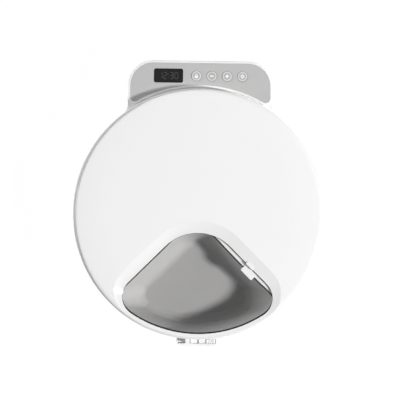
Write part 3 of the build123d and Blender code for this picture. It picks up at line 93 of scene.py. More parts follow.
class Tree:
    """A node tree, with short ways to add and join its nodes."""

    def __init__(self, tree: bpy.types.NodeTree) -> None:
        """Takes the tree that nodes go into.

        Args:
            tree: tree of a material or the world.
        """
        self.tree = tree

    def node(self, kind: str) -> bpy.types.Node:
        """Adds a node of a kind such as ShaderNodeMath."""
        return self.tree.nodes.new(kind)

    def join(self, source: Socket, target: Socket) -> None:
        """Links two sockets."""
        self.tree.links.new(source, target)

    def feed(self, target: Socket, value: Socket | float | Sequence[float]) -> None:
        """Sets an input from another socket or from a plain value.

        Args:
            target: the input.
            value: a socket to link, or a number or colour to write.
        """
        if isinstance(value, bpy.types.NodeSocket):
            self.join(value, target)
        else:
            target.default_value = value

    def math(self, kind: str, *values: Socket | float) -> Socket:
        """Adds a math node.

        Args:
            kind: operation, such as MULTIPLY.
            *values: its inputs in order.

        Returns:
            The node's result.
        """
        node = self.node("ShaderNodeMath")
        node.operation = kind
        for target, value in zip(node.inputs, values):
            self.feed(target, value)
        return node.outputs[0]

    def span(self, value: Socket, source: tuple[float, float], result: Sequence[Socket | float]) -> Socket:
        """Maps a value from one range to another, held at its ends.

        Args:
            value: what is mapped.
            source: range that it comes in.
            result: range that it leaves in.

        Returns:
            The mapped value.
        """
        node = self.node("ShaderNodeMapRange")
        for name, limit in zip(("From Min", "From Max", "To Min", "To Max"), (*source, *result)):
            self.feed(node.inputs[name], limit)
        self.join(value, node.inputs["Value"])
        return node.outputs[0]

    def either(self, *switches: Socket) -> Socket:
        """Joins switches into one that is 1 where any of them is.

        Args:
            *switches: the switches, each 0 or 1.

        Returns:
            The joined switch.
        """
        total = switches[0]
        for switch in switches[1:]:
            total = self.math("MAXIMUM", total, switch)
        return total

    def seen(self) -> Socket:
        """Adds a switch that is 1 for camera, glossy and transmission rays."""
        path = self.node("ShaderNodeLightPath").outputs
        return self.either(path["Is Camera Ray"], path["Is Glossy Ray"], path["Is Transmission Ray"])

    def cover(self, share: Socket, under: Socket, over: Socket) -> Socket:
        """Mixes two shaders.

        Args:
            share: how much of the upper shader shows.
            under: shader at share 0.
            over: shader at share 1.

        Returns:
            The mixed shader.
        """
        node = self.node("ShaderNodeMixShader")
        for target, source in zip(node.inputs, (share, under, over)):
            self.join(source, target)
        return node.outputs[0]


class NodeSheet(Tree):
    """The node tree of one principled material."""

    def __init__(self, name: str) -> None:
        """Starts a material with a principled shader and an output.

        Args:
            name: name of the material.
        """
        self.material = bpy.data.materials.new(name)
        self.material.use_nodes = True
        super().__init__(self.material.node_tree)
        self.tree.nodes.clear()
        self.shader = self.node("ShaderNodeBsdfPrincipled")
        self.join(self.shader.outputs["BSDF"], self.node("ShaderNodeOutputMaterial").inputs["Surface"])
        self.place = self.node("ShaderNodeTexCoord").outputs["Object"]

    def noise(self, size: float, kind: Noise = Noise.PLAIN,
              stretch: Sequence[float] | None = None) -> Socket:
        """Adds noise on object coordinates.

        Args:
            size: width of its largest features, in metres.
            kind: its octaves.
            stretch: scale along X, Y and Z, where it isn't even.

        Returns:
            The noise value.
        """
        node = self.node("ShaderNodeTexNoise")
        node.inputs["Scale"].default_value = 1 / size
        node.inputs["Detail"].default_value, node.inputs["Roughness"].default_value = kind.value
        if stretch is None:
            self.join(self.place, node.inputs["Vector"])
        else:
            mapping = self.node("ShaderNodeMapping")
            mapping.inputs["Scale"].default_value = stretch
            self.join(self.place, mapping.inputs["Vector"])
            self.join(mapping.outputs[0], node.inputs["Vector"])
        return node.outputs["Fac"]

    def blend(self, share: Socket | float, first: Socket | Sequence[float],
              second: Socket | Sequence[float]) -> Socket:
        """Mixes two colours.

        Args:
            share: how much of the second colour shows.
            first: colour at share 0.
            second: colour at share 1.

        Returns:
            The mixed colour.
        """
        node = self.node("ShaderNodeMix")
        node.data_type = "RGBA"
        factor, colours = node.inputs[0], node.inputs[6:8]
        self.feed(factor, share)
        for socket, value in zip(colours, (first, second)):
            self.feed(socket, value if isinstance(value, bpy.types.NodeSocket) else (*value, 1.0))
        return node.outputs[2]

    def along(self, axis: int) -> Socket:
        """One object coordinate: 0 for X, 1 for Y, 2 for Z."""
        node = self.node("ShaderNodeSeparateXYZ")
        self.join(self.place, node.inputs[0])
        return node.outputs[axis]

    def rounded_edges(self, radius: float) -> tuple[Socket, Socket]:
        """Adds the look of small rounds on sharp edges.

        Args:
            radius: size of the rounds, in metres.

        Returns:
            The rounded normal, and a mask that is 1 on edges.
        """
        bevel = self.node("ShaderNodeBevel")
        bevel.samples = EDGE_SAMPLES
        bevel.inputs["Radius"].default_value = radius
        geometry = self.node("ShaderNodeNewGeometry")
        dot = self.node("ShaderNodeVectorMath")
        dot.operation = "DOT_PRODUCT"
        self.join(bevel.outputs[0], dot.inputs[0])
        self.join(geometry.outputs["Normal"], dot.inputs[1])
        mask = self.span(dot.outputs["Value"], EDGE_TURN, UNIT)
        return bevel.outputs[0], mask

    def calmed(self, normal: Socket, calm: "Calm") -> Socket:
        """Leans normals that face up a little more upright, so that soft slopes blend into flats.

        Args:
            normal: the normal to lean.
            calm: heights and shares.

        Returns:
            The leaned normal.
        """
        split = self.node("ShaderNodeSeparateXYZ")
        self.join(normal, split.inputs[0])
        facing = self.span(split.outputs["Z"], calm.facing, UNIT)
        height = self.along(2)
        share = self.span(height, calm.above, (calm.edge, calm.top))
        part = self.math("MULTIPLY", facing, self.span(height, calm.start, UNIT))
        part = self.math("MULTIPLY", part, share)
        mixed = self.node("ShaderNodeMix")
        mixed.data_type = "VECTOR"
        factor, leaning, upright = mixed.inputs[0], mixed.inputs[4], mixed.inputs[5]
        self.join(part, factor)
        self.join(normal, leaning)
        upright.default_value = Turned.UPRIGHT.value
        unit = self.node("ShaderNodeVectorMath")
        unit.operation = "NORMALIZE"
        self.join(mixed.outputs[1], unit.inputs[0])
        return unit.outputs[0]

    def relief(self, height: Socket, depth: float, normal: Socket) -> None:
        """Bumps the surface and gives the result to the shader.

        Args:
            height: pattern from 0 to 1.
            depth: height of the bumps, in metres.
            normal: normal that the bumps start from.
        """
        bump = self.node("ShaderNodeBump")
        bump.inputs["Strength"].default_value = 1.0
        bump.inputs["Distance"].default_value = depth
        self.join(height, bump.inputs["Height"])
        self.join(normal, bump.inputs["Normal"])
        self.join(bump.outputs[0], self.shader.inputs["Normal"])


@dataclass(frozen=True)
class Calm:
    """Heights between which a soft edge turns into a soft top, with the upright's share in each."""

    start: tuple[float, float]
    above: tuple[float, float]
    edge: float
    top: float
    facing: tuple[float, float] = (0.0, 0.6)


@dataclass(frozen=True)
class Moulded:
    """Moulded plastic or rubber: clouded colour, fine grain and worn edges, with a band of painted shade
    above a given height where one is set.
    """

    name: str
    colour: Colour
    roughness: float = 0.42
    clouding: float = 0.018
    grain: float = 0.45 * MM
    depth: float = 0.006 * MM
    edge: float = 0.35 * MM
    worn: Colour = (0.93, 0.93, 0.92)
    wear: float = 0.35
    coat: float = 0.0
    gloss: float = 0.5
    handling: float = 0.055
    calm: Calm | None = None
    # Painted shade: the height above which the colour turns to a dark shade colour, and that colour.
    painted_shade_rim: tuple[float, Colour] | None = None
    painted_shade_fade: float = 0.1 * MM
    cloud_size: float = 38 * MM
    cloud_band: tuple[float, float] = (0.35, 0.65)
    rubbed_size: float = 3.2 * MM
    rubbed_band: tuple[float, float] = (0.42, 0.62)
    rubbed_share: tuple[float, float] = (0.15, 1.0)
    handled_size: float = 16 * MM
    coat_roughness: float = 0.12

    def material(self) -> bpy.types.Material:
        """Builds the material.

        Returns:
            The finished material.
        """
        sheet = NodeSheet(self.name)
        cloud = sheet.span(sheet.noise(self.cloud_size, Noise.CLOUDS), self.cloud_band, UNIT)
        dark = tuple(c * (1 - self.clouding) for c in self.colour)
        light = tuple(min(1.0, c * (1 + self.clouding)) for c in self.colour)
        colour = sheet.blend(cloud, dark, light)
        normal, edges = sheet.rounded_edges(self.edge)
        rubbed = sheet.span(sheet.noise(self.rubbed_size, Noise.RUBBING), self.rubbed_band,
                            self.rubbed_share)
        share = sheet.math("MULTIPLY", edges, sheet.math("MULTIPLY", rubbed, self.wear))
        colour = sheet.blend(share, colour, self.worn)
        # Painted shade: above the given height the colour fades into the dark shade colour.
        if self.painted_shade_rim:
            height, painted_shade_colour = self.painted_shade_rim
            above = sheet.span(sheet.along(2), (height - self.painted_shade_fade, height), UNIT)
            colour = sheet.blend(above, colour, painted_shade_colour)
        if self.calm:
            normal = sheet.calmed(normal, self.calm)
        sheet.join(colour, sheet.shader.inputs["Base Color"])
        handled = sheet.span(sheet.noise(self.handled_size, Noise.HANDLING), MIDDLE_BAND,
                             (self.roughness - self.handling, self.roughness + self.handling))
        sheet.join(handled, sheet.shader.inputs["Roughness"])
        sheet.relief(sheet.noise(self.grain, Noise.GRAIN), self.depth, normal)
        sheet.shader.inputs["Specular IOR Level"].default_value = self.gloss
        sheet.shader.inputs["Coat Weight"].default_value = self.coat
        sheet.shader.inputs["Coat Roughness"].default_value = self.coat_roughness
        return sheet.material


@dataclass(frozen=True)
class Metal:
    """Plated or ground metal with fine lines and a little tarnish."""

    name: str
    colour: Colour
    roughness: float = 0.3
    smoother: float = 0.07
    rougher: float = 0.1
    stretch: tuple[float, float, float] = (1.0, 1.0, 14.0)
    tarnish: Colour = (0.36, 0.35, 0.33)
    line_size: float = 0.5 * MM
    line_depth: float = 0.004 * MM
    stain_size: float = 2.6 * MM
    stain_band: tuple[float, float] = (0.48, 0.75)
    stain_share: tuple[float, float] = (0.0, 0.4)
    edge: float = 0.15 * MM

    def material(self) -> bpy.types.Material:
        """Builds the material.

        Returns:
            The finished material.
        """
        sheet = NodeSheet(self.name)
        lines = sheet.noise(self.line_size, Noise.RUBBING, self.stretch)
        stain = sheet.span(sheet.noise(self.stain_size, Noise.STAINS), self.stain_band, self.stain_share)
        sheet.join(sheet.blend(stain, self.colour, self.tarnish), sheet.shader.inputs["Base Color"])
        gloss = sheet.span(lines, MIDDLE_BAND,
                           (self.roughness - self.smoother, self.roughness + self.rougher))
        sheet.join(gloss, sheet.shader.inputs["Roughness"])
        sheet.shader.inputs["Metallic"].default_value = 1.0
        normal, _ = sheet.rounded_edges(self.edge)
        sheet.relief(lines, self.line_depth, normal)
        return sheet.material


@dataclass(frozen=True)
class Window:
    """Glossy black window over the display, with faint dust and fine rubbing."""

    name: str
    colour: Colour
    dust: Colour = (0.12, 0.12, 0.12)
    dust_size: float = 0.35 * MM
    dust_band: tuple[float, float] = (0.66, 0.8)
    dust_share: tuple[float, float] = (0.0, 0.35)
    rubbed_size: float = 6 * MM
    rubbed_stretch: tuple[float, float, float] = (1.0, 5.0, 1.0)
    rubbed_band: tuple[float, float] = (0.35, 0.7)
    roughness: tuple[float, float] = (0.1, 0.24)
    edge: float = 0.3 * MM
    wave_size: float = 9 * MM
    wave_depth: float = 0.004 * MM
    gloss: float = 0.12

    def material(self) -> bpy.types.Material:
        """Builds the material.

        Returns:
            The finished material.
        """
        sheet = NodeSheet(self.name)
        dust = sheet.span(sheet.noise(self.dust_size, Noise.GRAIN), self.dust_band, self.dust_share)
        sheet.join(sheet.blend(dust, self.colour, self.dust), sheet.shader.inputs["Base Color"])
        rubbing = sheet.noise(self.rubbed_size, Noise.STAINS, self.rubbed_stretch)
        sheet.join(sheet.span(rubbing, self.rubbed_band, self.roughness), sheet.shader.inputs["Roughness"])
        normal, _ = sheet.rounded_edges(self.edge)
        sheet.relief(sheet.noise(self.wave_size, Noise.WAVES), self.wave_depth, normal)
        sheet.shader.inputs["Specular IOR Level"].default_value = self.gloss
        return sheet.material


@dataclass(frozen=True)
class Board:
    """Green solder mask with traces and pads just under it."""

    name: str
    mask: Colour
    copper: Colour = (0.16, 0.38, 0.16)
    cell: float = 3.4 * MM
    fold: float = 0.16
    trace_band: tuple[float, float] = (0.05, 0.075)
    trace_depth: float = 0.03 * MM
    mottle_size: float = 9 * MM
    mottle_dark: float = 0.8
    gloss_size: float = 5 * MM
    roughness: tuple[float, float] = (0.26, 0.4)
    edge: float = 0.1 * MM

    def material(self) -> bpy.types.Material:
        """Builds the material.

        Returns:
            The finished material.
        """
        sheet = NodeSheet(self.name)
        cells = sheet.node("ShaderNodeTexVoronoi")
        cells.distance = "CHEBYCHEV"
        cells.feature = "F2"
        cells.inputs["Scale"].default_value = 1 / self.cell
        sheet.join(sheet.place, cells.inputs["Vector"])
        ridge = sheet.math("PINGPONG", cells.outputs["Distance"], self.fold)
        traces = sheet.span(ridge, self.trace_band, (1.0, 0.0))
        dark = tuple(self.mottle_dark * c for c in self.mask)
        mottle = sheet.blend(sheet.noise(self.mottle_size), self.mask, dark)
        sheet.join(sheet.blend(traces, mottle, self.copper), sheet.shader.inputs["Base Color"])
        sheet.join(sheet.span(sheet.noise(self.gloss_size), MIDDLE_BAND, self.roughness),
                   sheet.shader.inputs["Roughness"])
        normal, _ = sheet.rounded_edges(self.edge)
        sheet.relief(traces, self.trace_depth, normal)
        return sheet.material


@dataclass(frozen=True)
class Banded:
    """Two finishes that meet at a distance along X, on both sides of the middle."""

    name: str
    near: Colour
    far: Colour
    far_metal: float
    roughness: float
    smoother: float = 0.06
    rougher: float = 0.1
    fade: float = 0.1 * MM
    scuff: Colour = (0.4, 0.4, 0.4)
    scuff_size: float = 2.4 * MM
    scuff_band: tuple[float, float] = (0.52, 0.7)
    scuff_share: tuple[float, float] = (0.0, 0.25)
    gloss_size: float = 1.5 * MM
    edge: float = 0.25 * MM
    grain: float = 0.6 * MM
    depth: float = 0.008 * MM

    def material(self, start: float) -> bpy.types.Material:
        """Builds the material.

        Args:
            start: distance from the middle where the far finish starts, in metres.

        Returns:
            The finished material.
        """
        sheet = NodeSheet(self.name)
        distance = sheet.math("ABSOLUTE", sheet.along(0))
        change = sheet.span(distance, (start - self.fade, start + self.fade), UNIT)
        scuffs = sheet.span(sheet.noise(self.scuff_size, Noise.STAINS), self.scuff_band, self.scuff_share)
        colour = sheet.blend(change, self.near, self.far)
        sheet.join(sheet.blend(scuffs, colour, self.scuff), sheet.shader.inputs["Base Color"])
        sheet.join(sheet.math("MULTIPLY", change, self.far_metal), sheet.shader.inputs["Metallic"])
        gloss = sheet.span(sheet.noise(self.gloss_size, Noise.RUBBING), MIDDLE_BAND,
                           (self.roughness - self.smoother, self.roughness + self.rougher))
        sheet.join(gloss, sheet.shader.inputs["Roughness"])
        normal, _ = sheet.rounded_edges(self.edge)
        sheet.relief(sheet.noise(self.grain), self.depth, normal)
        return sheet.material


WHITE_SHELL = Moulded("shell_white_gloss", (0.862, 0.862, 0.86), roughness=0.3, clouding=0.002,
                      edge=0.8 * MM, coat=0.2, handling=0.02)
WHITE_LID = replace(WHITE_SHELL, name="lid_white_gloss", edge=1.2 * MM,
                    calm=Calm(start=(54 * MM, 58 * MM), above=(63 * MM, 67.5 * MM), edge=0.75, top=0.5))
WHITE_INNER = Moulded("inner_white_satin", (0.85, 0.85, 0.848), roughness=0.42, clouding=0.008)
WHITE_PLATE = Moulded("plate_white_grained", (0.83, 0.83, 0.826), roughness=0.55, clouding=0.012,
                      grain=0.7 * MM, depth=0.03 * MM)
# The bowls' top edge above 60.4 mm is painted near-black: painted shade for the gap under the lid's window
# edge.
BOWL_GREY = Moulded("bowl_grey_satin", (0.405, 0.4, 0.398), roughness=0.36, clouding=0.012,
                    edge=0.5 * MM, worn=(0.5, 0.49, 0.49), wear=0.5, gloss=0.06,
                    painted_shade_rim=(60.4 * MM, (0.06, 0.06, 0.06)))
PANEL_GREY = Moulded("panel_grey_matt", (0.5, 0.5, 0.498), roughness=0.5, clouding=0.012,
                     grain=0.5 * MM, depth=0.012 * MM, worn=(0.56, 0.56, 0.56), gloss=0.25)
CAP_GREY = Moulded("cap_grey_matt", (0.455, 0.455, 0.453), roughness=0.42, clouding=0.01,
                   grain=0.4 * MM, worn=(0.6, 0.6, 0.6), gloss=0.25)
# Painted highlight: a lighter ring on each button cap, standing for the shading round the cap's dimple.
CAP_HIGHLIGHT_RING = Moulded("cap_ring_painted_highlight", (0.74, 0.74, 0.738), roughness=0.38, clouding=0.01,
                   grain=0.4 * MM, gloss=0.3)
PRINT_WHITE = Moulded("print_white", (0.92, 0.92, 0.92), roughness=0.45, clouding=0.02,
                      grain=0.3 * MM, depth=0.004 * MM, edge=0.05 * MM)
DIGIT_GREY = Moulded("digit_grey", (0.042, 0.044, 0.045), roughness=0.4, clouding=0.08,
                     grain=0.3 * MM, depth=0.002 * MM, edge=0.02 * MM, worn=(0.1, 0.1, 0.1))
LENS_BLACK = Window("lens_black_gloss", (0.014, 0.014, 0.015))
MODULE_BLACK = Moulded("module_black", (0.04, 0.04, 0.04), roughness=0.5, clouding=0.05,
                       worn=(0.12, 0.12, 0.12))
SILICONE = Moulded("gasket_silicone", (0.66, 0.66, 0.65), roughness=0.62, clouding=0.03,
                   grain=0.3 * MM, worn=(0.7, 0.7, 0.7))
# Painted shade: near-black band inside the lid's window edge, where only the shade of the gap falls.
PAINTED_SHADE_BEAD = Moulded("bead_painted_shade_dark", (0.02, 0.02, 0.02), roughness=0.6, clouding=0.05,
                     grain=0.3 * MM, edge=0.1 * MM, worn=(0.05, 0.05, 0.05), gloss=0.15)
RUBBER = Moulded("foot_rubber", (0.05, 0.05, 0.052), roughness=0.74, clouding=0.12,
                 grain=0.5 * MM, depth=0.05 * MM, worn=(0.16, 0.155, 0.15), wear=0.6)
ACETAL = Moulded("gear_acetal", (0.8, 0.775, 0.7), roughness=0.4, clouding=0.02, worn=(0.86, 0.84, 0.78))
BUSH = Moulded("bush_acetal", (0.09, 0.09, 0.095), roughness=0.38, clouding=0.06, worn=(0.2, 0.2, 0.2))
BAY_BLACK = Moulded("bay_black", (0.055, 0.055, 0.056), roughness=0.5, clouding=0.06,
                    worn=(0.14, 0.14, 0.14))
PART_BLACK = Moulded("part_black", (0.04, 0.04, 0.041), roughness=0.46, clouding=0.06,
                     worn=(0.13, 0.13, 0.13))
ZINC = Metal("screw_zinc", (0.66, 0.66, 0.68), roughness=0.28)
GROUND = Metal("pin_ground_steel", (0.62, 0.62, 0.64), roughness=0.22)
NICKEL = Metal("magnet_nickel", (0.72, 0.7, 0.67), roughness=0.18)
SOLDER_MASK = Board("board_green", (0.03, 0.19, 0.085))
CELL_SLEEVE = Banded("cell_sleeve", near=(0.02, 0.022, 0.024), far=(0.62, 0.4, 0.2), far_metal=0.8,
                     roughness=0.26)
MOTOR_CASE = Banded("motor_case", near=(0.045, 0.045, 0.045), far=(0.6, 0.6, 0.61), far_metal=1.0,
                    roughness=0.34)


@dataclass(frozen=True)
class Placing:
    """How a finished piece goes into the frame."""

    body: Body
    slot: str


class Workpiece:
    """A mesh under construction, made with bmesh operators."""

    def __init__(self) -> None:
        """Starts an empty mesh."""
        self.mesh = bmesh.new()

    def turn(self, profile: Sequence[tuple[float, float]], centre: Vector, axis: Turned,
             steps: int) -> None:
        """Adds a turned shape.

        Args:
            profile: pairs of radius and distance along the axis, in metres.
            centre: point on the axis that distances start from.
            axis: direction of the axis.
            steps: facets round the axis.
        """
        direction, side = Vector(axis.value), Vector((1.0, 0.0, 0.0))
        points = [self.mesh.verts.new(centre + side * radius + direction * along)
                  for radius, along in profile]
        lines = [self.mesh.edges.new(pair) for pair in zip(points, points[1:])]
        bmesh.ops.spin(self.mesh, geom=points + lines, cent=centre, axis=direction, angle=math.tau,
                       steps=steps, use_merge=True)
        bmesh.ops.remove_doubles(self.mesh, verts=self.mesh.verts, dist=WELD)

    def bar(self, centre: Vector, size: Sequence[float], angle: float = 0.0, corner: float = 0.0) -> None:
        """Adds a box, with its upright edges rounded if a corner is given.

        Args:
            centre: middle of the box.
            size: its lengths along X, Y and Z.
            angle: turn about Z, in radians.
            corner: radius of the upright edges.
        """
        turn = Matrix.Translation(centre) @ Matrix.Rotation(angle, 4, "Z") @ Matrix.Diagonal((*size, 1.0))
        made = bmesh.ops.create_cube(self.mesh, size=1.0, matrix=turn)
        if corner:
            upright = [edge for edge in {e for v in made["verts"] for e in v.link_edges}
                       if abs((edge.verts[0].co - edge.verts[1].co).normalized().z) > UPRIGHT_SHARE]
            bmesh.ops.bevel(self.mesh, geom=upright, offset=corner, offset_type="OFFSET",
                            segments=CORNER_FACETS, affect="EDGES", profile=0.5, material=-1)

    def loop(self, sections: Sequence[Sequence[Vector]]) -> None:
        """Adds a closed ring from its cross sections in order.

        Args:
            sections: corner points of each section, alike in number and order.
        """
        rings = [[self.mesh.verts.new(corner) for corner in section] for section in sections]
        count = len(rings[0])
        for ring, following in zip(rings, rings[1:] + rings[:1]):
            for side in range(count):
                after = (side + 1) % count
                self.mesh.faces.new((ring[side], following[side], following[after], ring[after]))

    def band(self, centre: Vector, radius: float, width: float, height: float, start: float = 0.0,
             sweep: float = math.tau, steps: int = 48) -> None:
        """Adds a flat ring or part of one.

        Args:
            centre: middle of the ring, at its underside.
            radius: radius of its middle line.
            width: width of the band.
            height: its thickness.
            start: angle where it starts, in radians.
            sweep: angle that it covers.
            steps: facets along it.
        """
        outward = Vector((math.cos(start), math.sin(start), 0.0))
        rise = Vector((0.0, 0.0, height))
        inner, outer = centre + outward * (radius - width / 2), centre + outward * (radius + width / 2)
        corners = [self.mesh.verts.new(p) for p in (inner, outer, outer + rise, inner + rise)]
        face = self.mesh.faces.new(corners)
        whole = sweep >= FULL_TURN
        if whole:
            lines = list(face.edges)
            self.mesh.faces.remove(face)
            geometry = corners + lines
        else:
            geometry = corners + list(face.edges) + [face]
        bmesh.ops.spin(self.mesh, geom=geometry, cent=centre, axis=Turned.UPRIGHT.value, angle=sweep,
                       steps=steps, use_merge=whole)

    def finish(self, name: str, material: bpy.types.Material, placing: Placing) -> None:
        """Turns the mesh into a piece of the feeder.

        Args:
            name: name of the piece.
            material: its finish.
            placing: body that it rides on; its slot is not used.
        """
        bmesh.ops.recalc_face_normals(self.mesh, faces=self.mesh.faces)
        data = bpy.data.meshes.new(name)
        self.mesh.to_mesh(data)
        self.mesh.free()
        data.shade_smooth()
        data.set_sharp_from_angle(angle=SMOOTH_ANGLE)
        data.materials.append(material)
        piece = bpy.data.objects.new(name, data)
        bpy.context.scene.collection.objects.link(piece)
        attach(piece, placing.body.value)
        LOG.info("%s: %d faces on %s", name, len(data.polygons), placing.body.value)


def dress(material: bpy.types.Material, *nodes: str) -> None:
    """Gives carried-over CAD nodes their finish.

    Args:
        material: the finish.
        nodes: names of the nodes.
    """
    for node in nodes:
        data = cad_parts[node].data
        data.materials.clear()
        data.materials.append(material)
        LOG.info("%s: dressed in %s", node, material.name)


def middle(node: str) -> Vector:
    """Middle of a CAD node's box."""
    low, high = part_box(node)
    return (low + high) / 2


@dataclass
class Housing:
    """Tub, bottom plate, feet, fasteners and the parts that show from outside."""

    jack_pin_radius: float = 0.65 * MM
    jack_pin_tip: float = 1.6 * MM
    jack_pin_root: float = 8.6 * MM
    jack_pin_blunt: float = 0.7
    jack_pin_facets: int = 24

    def build(self) -> None:
        """Dresses the housing and adds the inlet's centre pin."""
        dress(WHITE_SHELL.material(), "base_shell")
        dress(WHITE_PLATE.material(), "bottom_plate", "battery_door")
        dress(RUBBER.material(), "rubber_feet")
        dress(SILICONE.material(), "lid_gasket")
        dress(ZINC.material(), "plate_screws", "motor_screws", "board_screws", "hub_screw")
        dress(PART_BLACK.material(), "dc_jack", "tact_switches")
        self.inlet_pin()

    def inlet_pin(self) -> None:
        """Centre pin in the mains inlet."""
        low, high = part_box("dc_jack")
        nose = Vector(((low.x + high.x) / 2, high.y, (low.z + high.z) / 2))
        radius, root, tip = self.jack_pin_radius, -self.jack_pin_root, -self.jack_pin_tip
        profile = [(0.0, root), (radius, root), (radius, tip - radius / 2),
                   (radius * self.jack_pin_blunt, tip - radius / 6), (0.0, tip)]
        pin = Workpiece()
        pin.turn(profile, nose, Turned.ALONG_Y, self.jack_pin_facets)
        pin.finish("dc_jack_pin", GROUND.material(), Placing(Body.BASE, "pin_steel"))


@dataclass
class Lid:
    """Domed lid with its window surround, and a near-black band of painted shade inside the window's edge,
    standing for the shade in the gap between the lid and the bowls.
    """

    window_reach: float = 148.0 * MM
    window_apex: float = 56.6 * MM
    window_corner: float = 24.6 * MM
    shade_bead_low: float = 62.0 * MM
    shade_bead_high: float = 62.6 * MM
    shade_bead_out: float = 0.5 * MM
    shade_bead_side: float = 0.35 * MM
    shade_bead_front: float = 1.9 * MM
    widen_from: float = 0.1
    widen_over: float = 0.6
    arc_steps: int = 16

    def build(self) -> None:
        """Dresses the lid and lays the band of painted shade inside its window's edge."""
        dress(WHITE_LID.material(), "lid_shell")
        shade_bead = Workpiece()
        axis = middle("hub_gear")
        axis.z = 0.0
        rings = []
        for point, inward, share in self.outline():
            # The painted shade is wider towards the front, where the lid's edge throws a wider shadow.
            width = self.shade_bead_side + (self.shade_bead_front - self.shade_bead_side) * share
            outer, inner = axis + point - inward * self.shade_bead_out, axis + point + inward * width
            low, high = Vector((0.0, 0.0, self.shade_bead_low)), Vector((0.0, 0.0, self.shade_bead_high))
            rings.append((outer + low, inner + low, inner + high, outer + high))
        shade_bead.loop(rings)
        shade_bead.finish("window_painted_shade", PAINTED_SHADE_BEAD.material(), Placing(Body.LID, "gasket_silicone"))

    def outline(self) -> list[tuple[Vector, Vector, float]]:
        """Follows the window's edge once round.

        Returns:
            Points from the tray's axis, each with its inward direction and how far forward it is, 0 to 1.
        """
        right = Vector((math.sqrt(0.5), -math.sqrt(0.5), 0.0))
        left = Vector((-right.x, right.y, 0.0))
        corner_run = math.sqrt((self.window_reach - self.window_corner) ** 2 - self.window_corner ** 2)
        corner_right = right * corner_run + left * self.window_corner
        corner_left = Vector((-corner_right.x, corner_right.y, 0.0))
        apex = Vector((0.0, -self.window_apex * math.sqrt(2), 0.0))
        side_turn = math.pi / 4
        edge_turn = math.atan2(corner_right.y, corner_right.x)
        arcs = (
            (apex, self.window_apex, side_turn, math.pi - side_turn),
            (corner_left, self.window_corner, math.pi - side_turn, math.pi - edge_turn),
            (Vector(), self.window_reach, math.pi - edge_turn, math.tau + edge_turn),
            (corner_right, self.window_corner, edge_turn, side_turn),
        )
        points = []
        for centre, radius, start, stop in arcs:
            found = self.arc(centre, radius, start, stop)
            joined = points and (points[-1][0] - found[0][0]).length < SAME_POINT
            points += found[1:] if joined else found
        return points

    def arc(self, centre: Vector, radius: float, start: float, stop: float
            ) -> list[tuple[Vector, Vector, float]]:
        """Follows one arc of the window's edge.

        Args:
            centre: middle of the arc.
            radius: its radius.
            start: angle where it starts, in radians.
            stop: angle where it stops.

        Returns:
            Points as in outline.
        """
        found = []
        for step in range(self.arc_steps + 1):
            angle = start + (stop - start) * step / self.arc_steps
            outward = Vector((math.cos(angle), math.sin(angle), 0.0))
            point = centre + outward * radius
            forward = min(1.0, max(0.0, (-outward.y - self.widen_from) / self.widen_over))
            found.append((point, -outward, forward))
        return found


@dataclass
class Lock:
    """Slide bolt at the front, with the thin plates that cover its pocket."""

    sheet: float = 0.5 * MM
    apron_drop: float = 1.2 * MM
    plate_drop: float = 1.9 * MM
    travel: float = 10.5 * MM
    tip_reach: float = 0.6 * MM
    grip_gap: float = 0.1 * MM
    grip_height: float = 2 * MM

    def build(self) -> None:
        """Dresses the bolt and covers the pocket beside its grip."""
        dress(WHITE_SHELL.material(), "lock_slider")
        corners = [vertex.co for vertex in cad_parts["lock_slider"].data.vertices]
        top = max(corner.z for corner in corners)
        grip = [corner for corner in corners if corner.z > top - self.grip_height]
        grip_left = min(corner.x for corner in grip)
        front, back = min(corner.y for corner in grip), max(corner.y for corner in grip)
        bolt_tip = min(corner.x for corner in corners)
        apron_left = bolt_tip - self.tip_reach + self.travel
        pocket_right = grip_left - self.travel - self.grip_gap
        depth = (front, back)
        self.plate("lock_apron", (apron_left, grip_left), depth, top - self.apron_drop, Body.LOCK)
        self.plate("pocket_plate", (bolt_tip, pocket_right), depth, top - self.plate_drop, Body.BASE)

    def plate(self, name: str, across: tuple[float, float], depth: tuple[float, float], top: float,
              body: Body) -> None:
        """Adds one thin plate.

        Args:
            name: its name.
            across: where it starts and ends along X.
            depth: where it starts and ends along Y.
            top: height of its upper face.
            body: what it moves with.
        """
        piece = Workpiece()
        centre = Vector((sum(across) / 2, sum(depth) / 2, top - self.sheet / 2))
        piece.bar(centre, (across[1] - across[0], depth[1] - depth[0], self.sheet))
        piece.finish(name, WHITE_SHELL.material(), Placing(body, "white_shell"))


@dataclass
class Tray:
    """Turning tray with its bowls, clips, hub and gear."""

    bowls: int = 4

    def build(self) -> None:
        """Dresses the tray and what turns with it."""
        dress(WHITE_INNER.material(), "tray_carrier", *[f"bowl_clip_{n + 1}" for n in range(self.bowls)])
        dress(BOWL_GREY.material(), *[f"bowl_{n + 1}" for n in range(self.bowls)])
        dress(ACETAL.material(), "drive_hub", "hub_gear", "idler_gear", "drive_pinion")
        dress(NICKEL.material(), "index_magnets")
        dress(GROUND.material(), "idler_pin", "output_shaft", "battery_contacts")
        dress(BUSH.material(), "hub_bush")


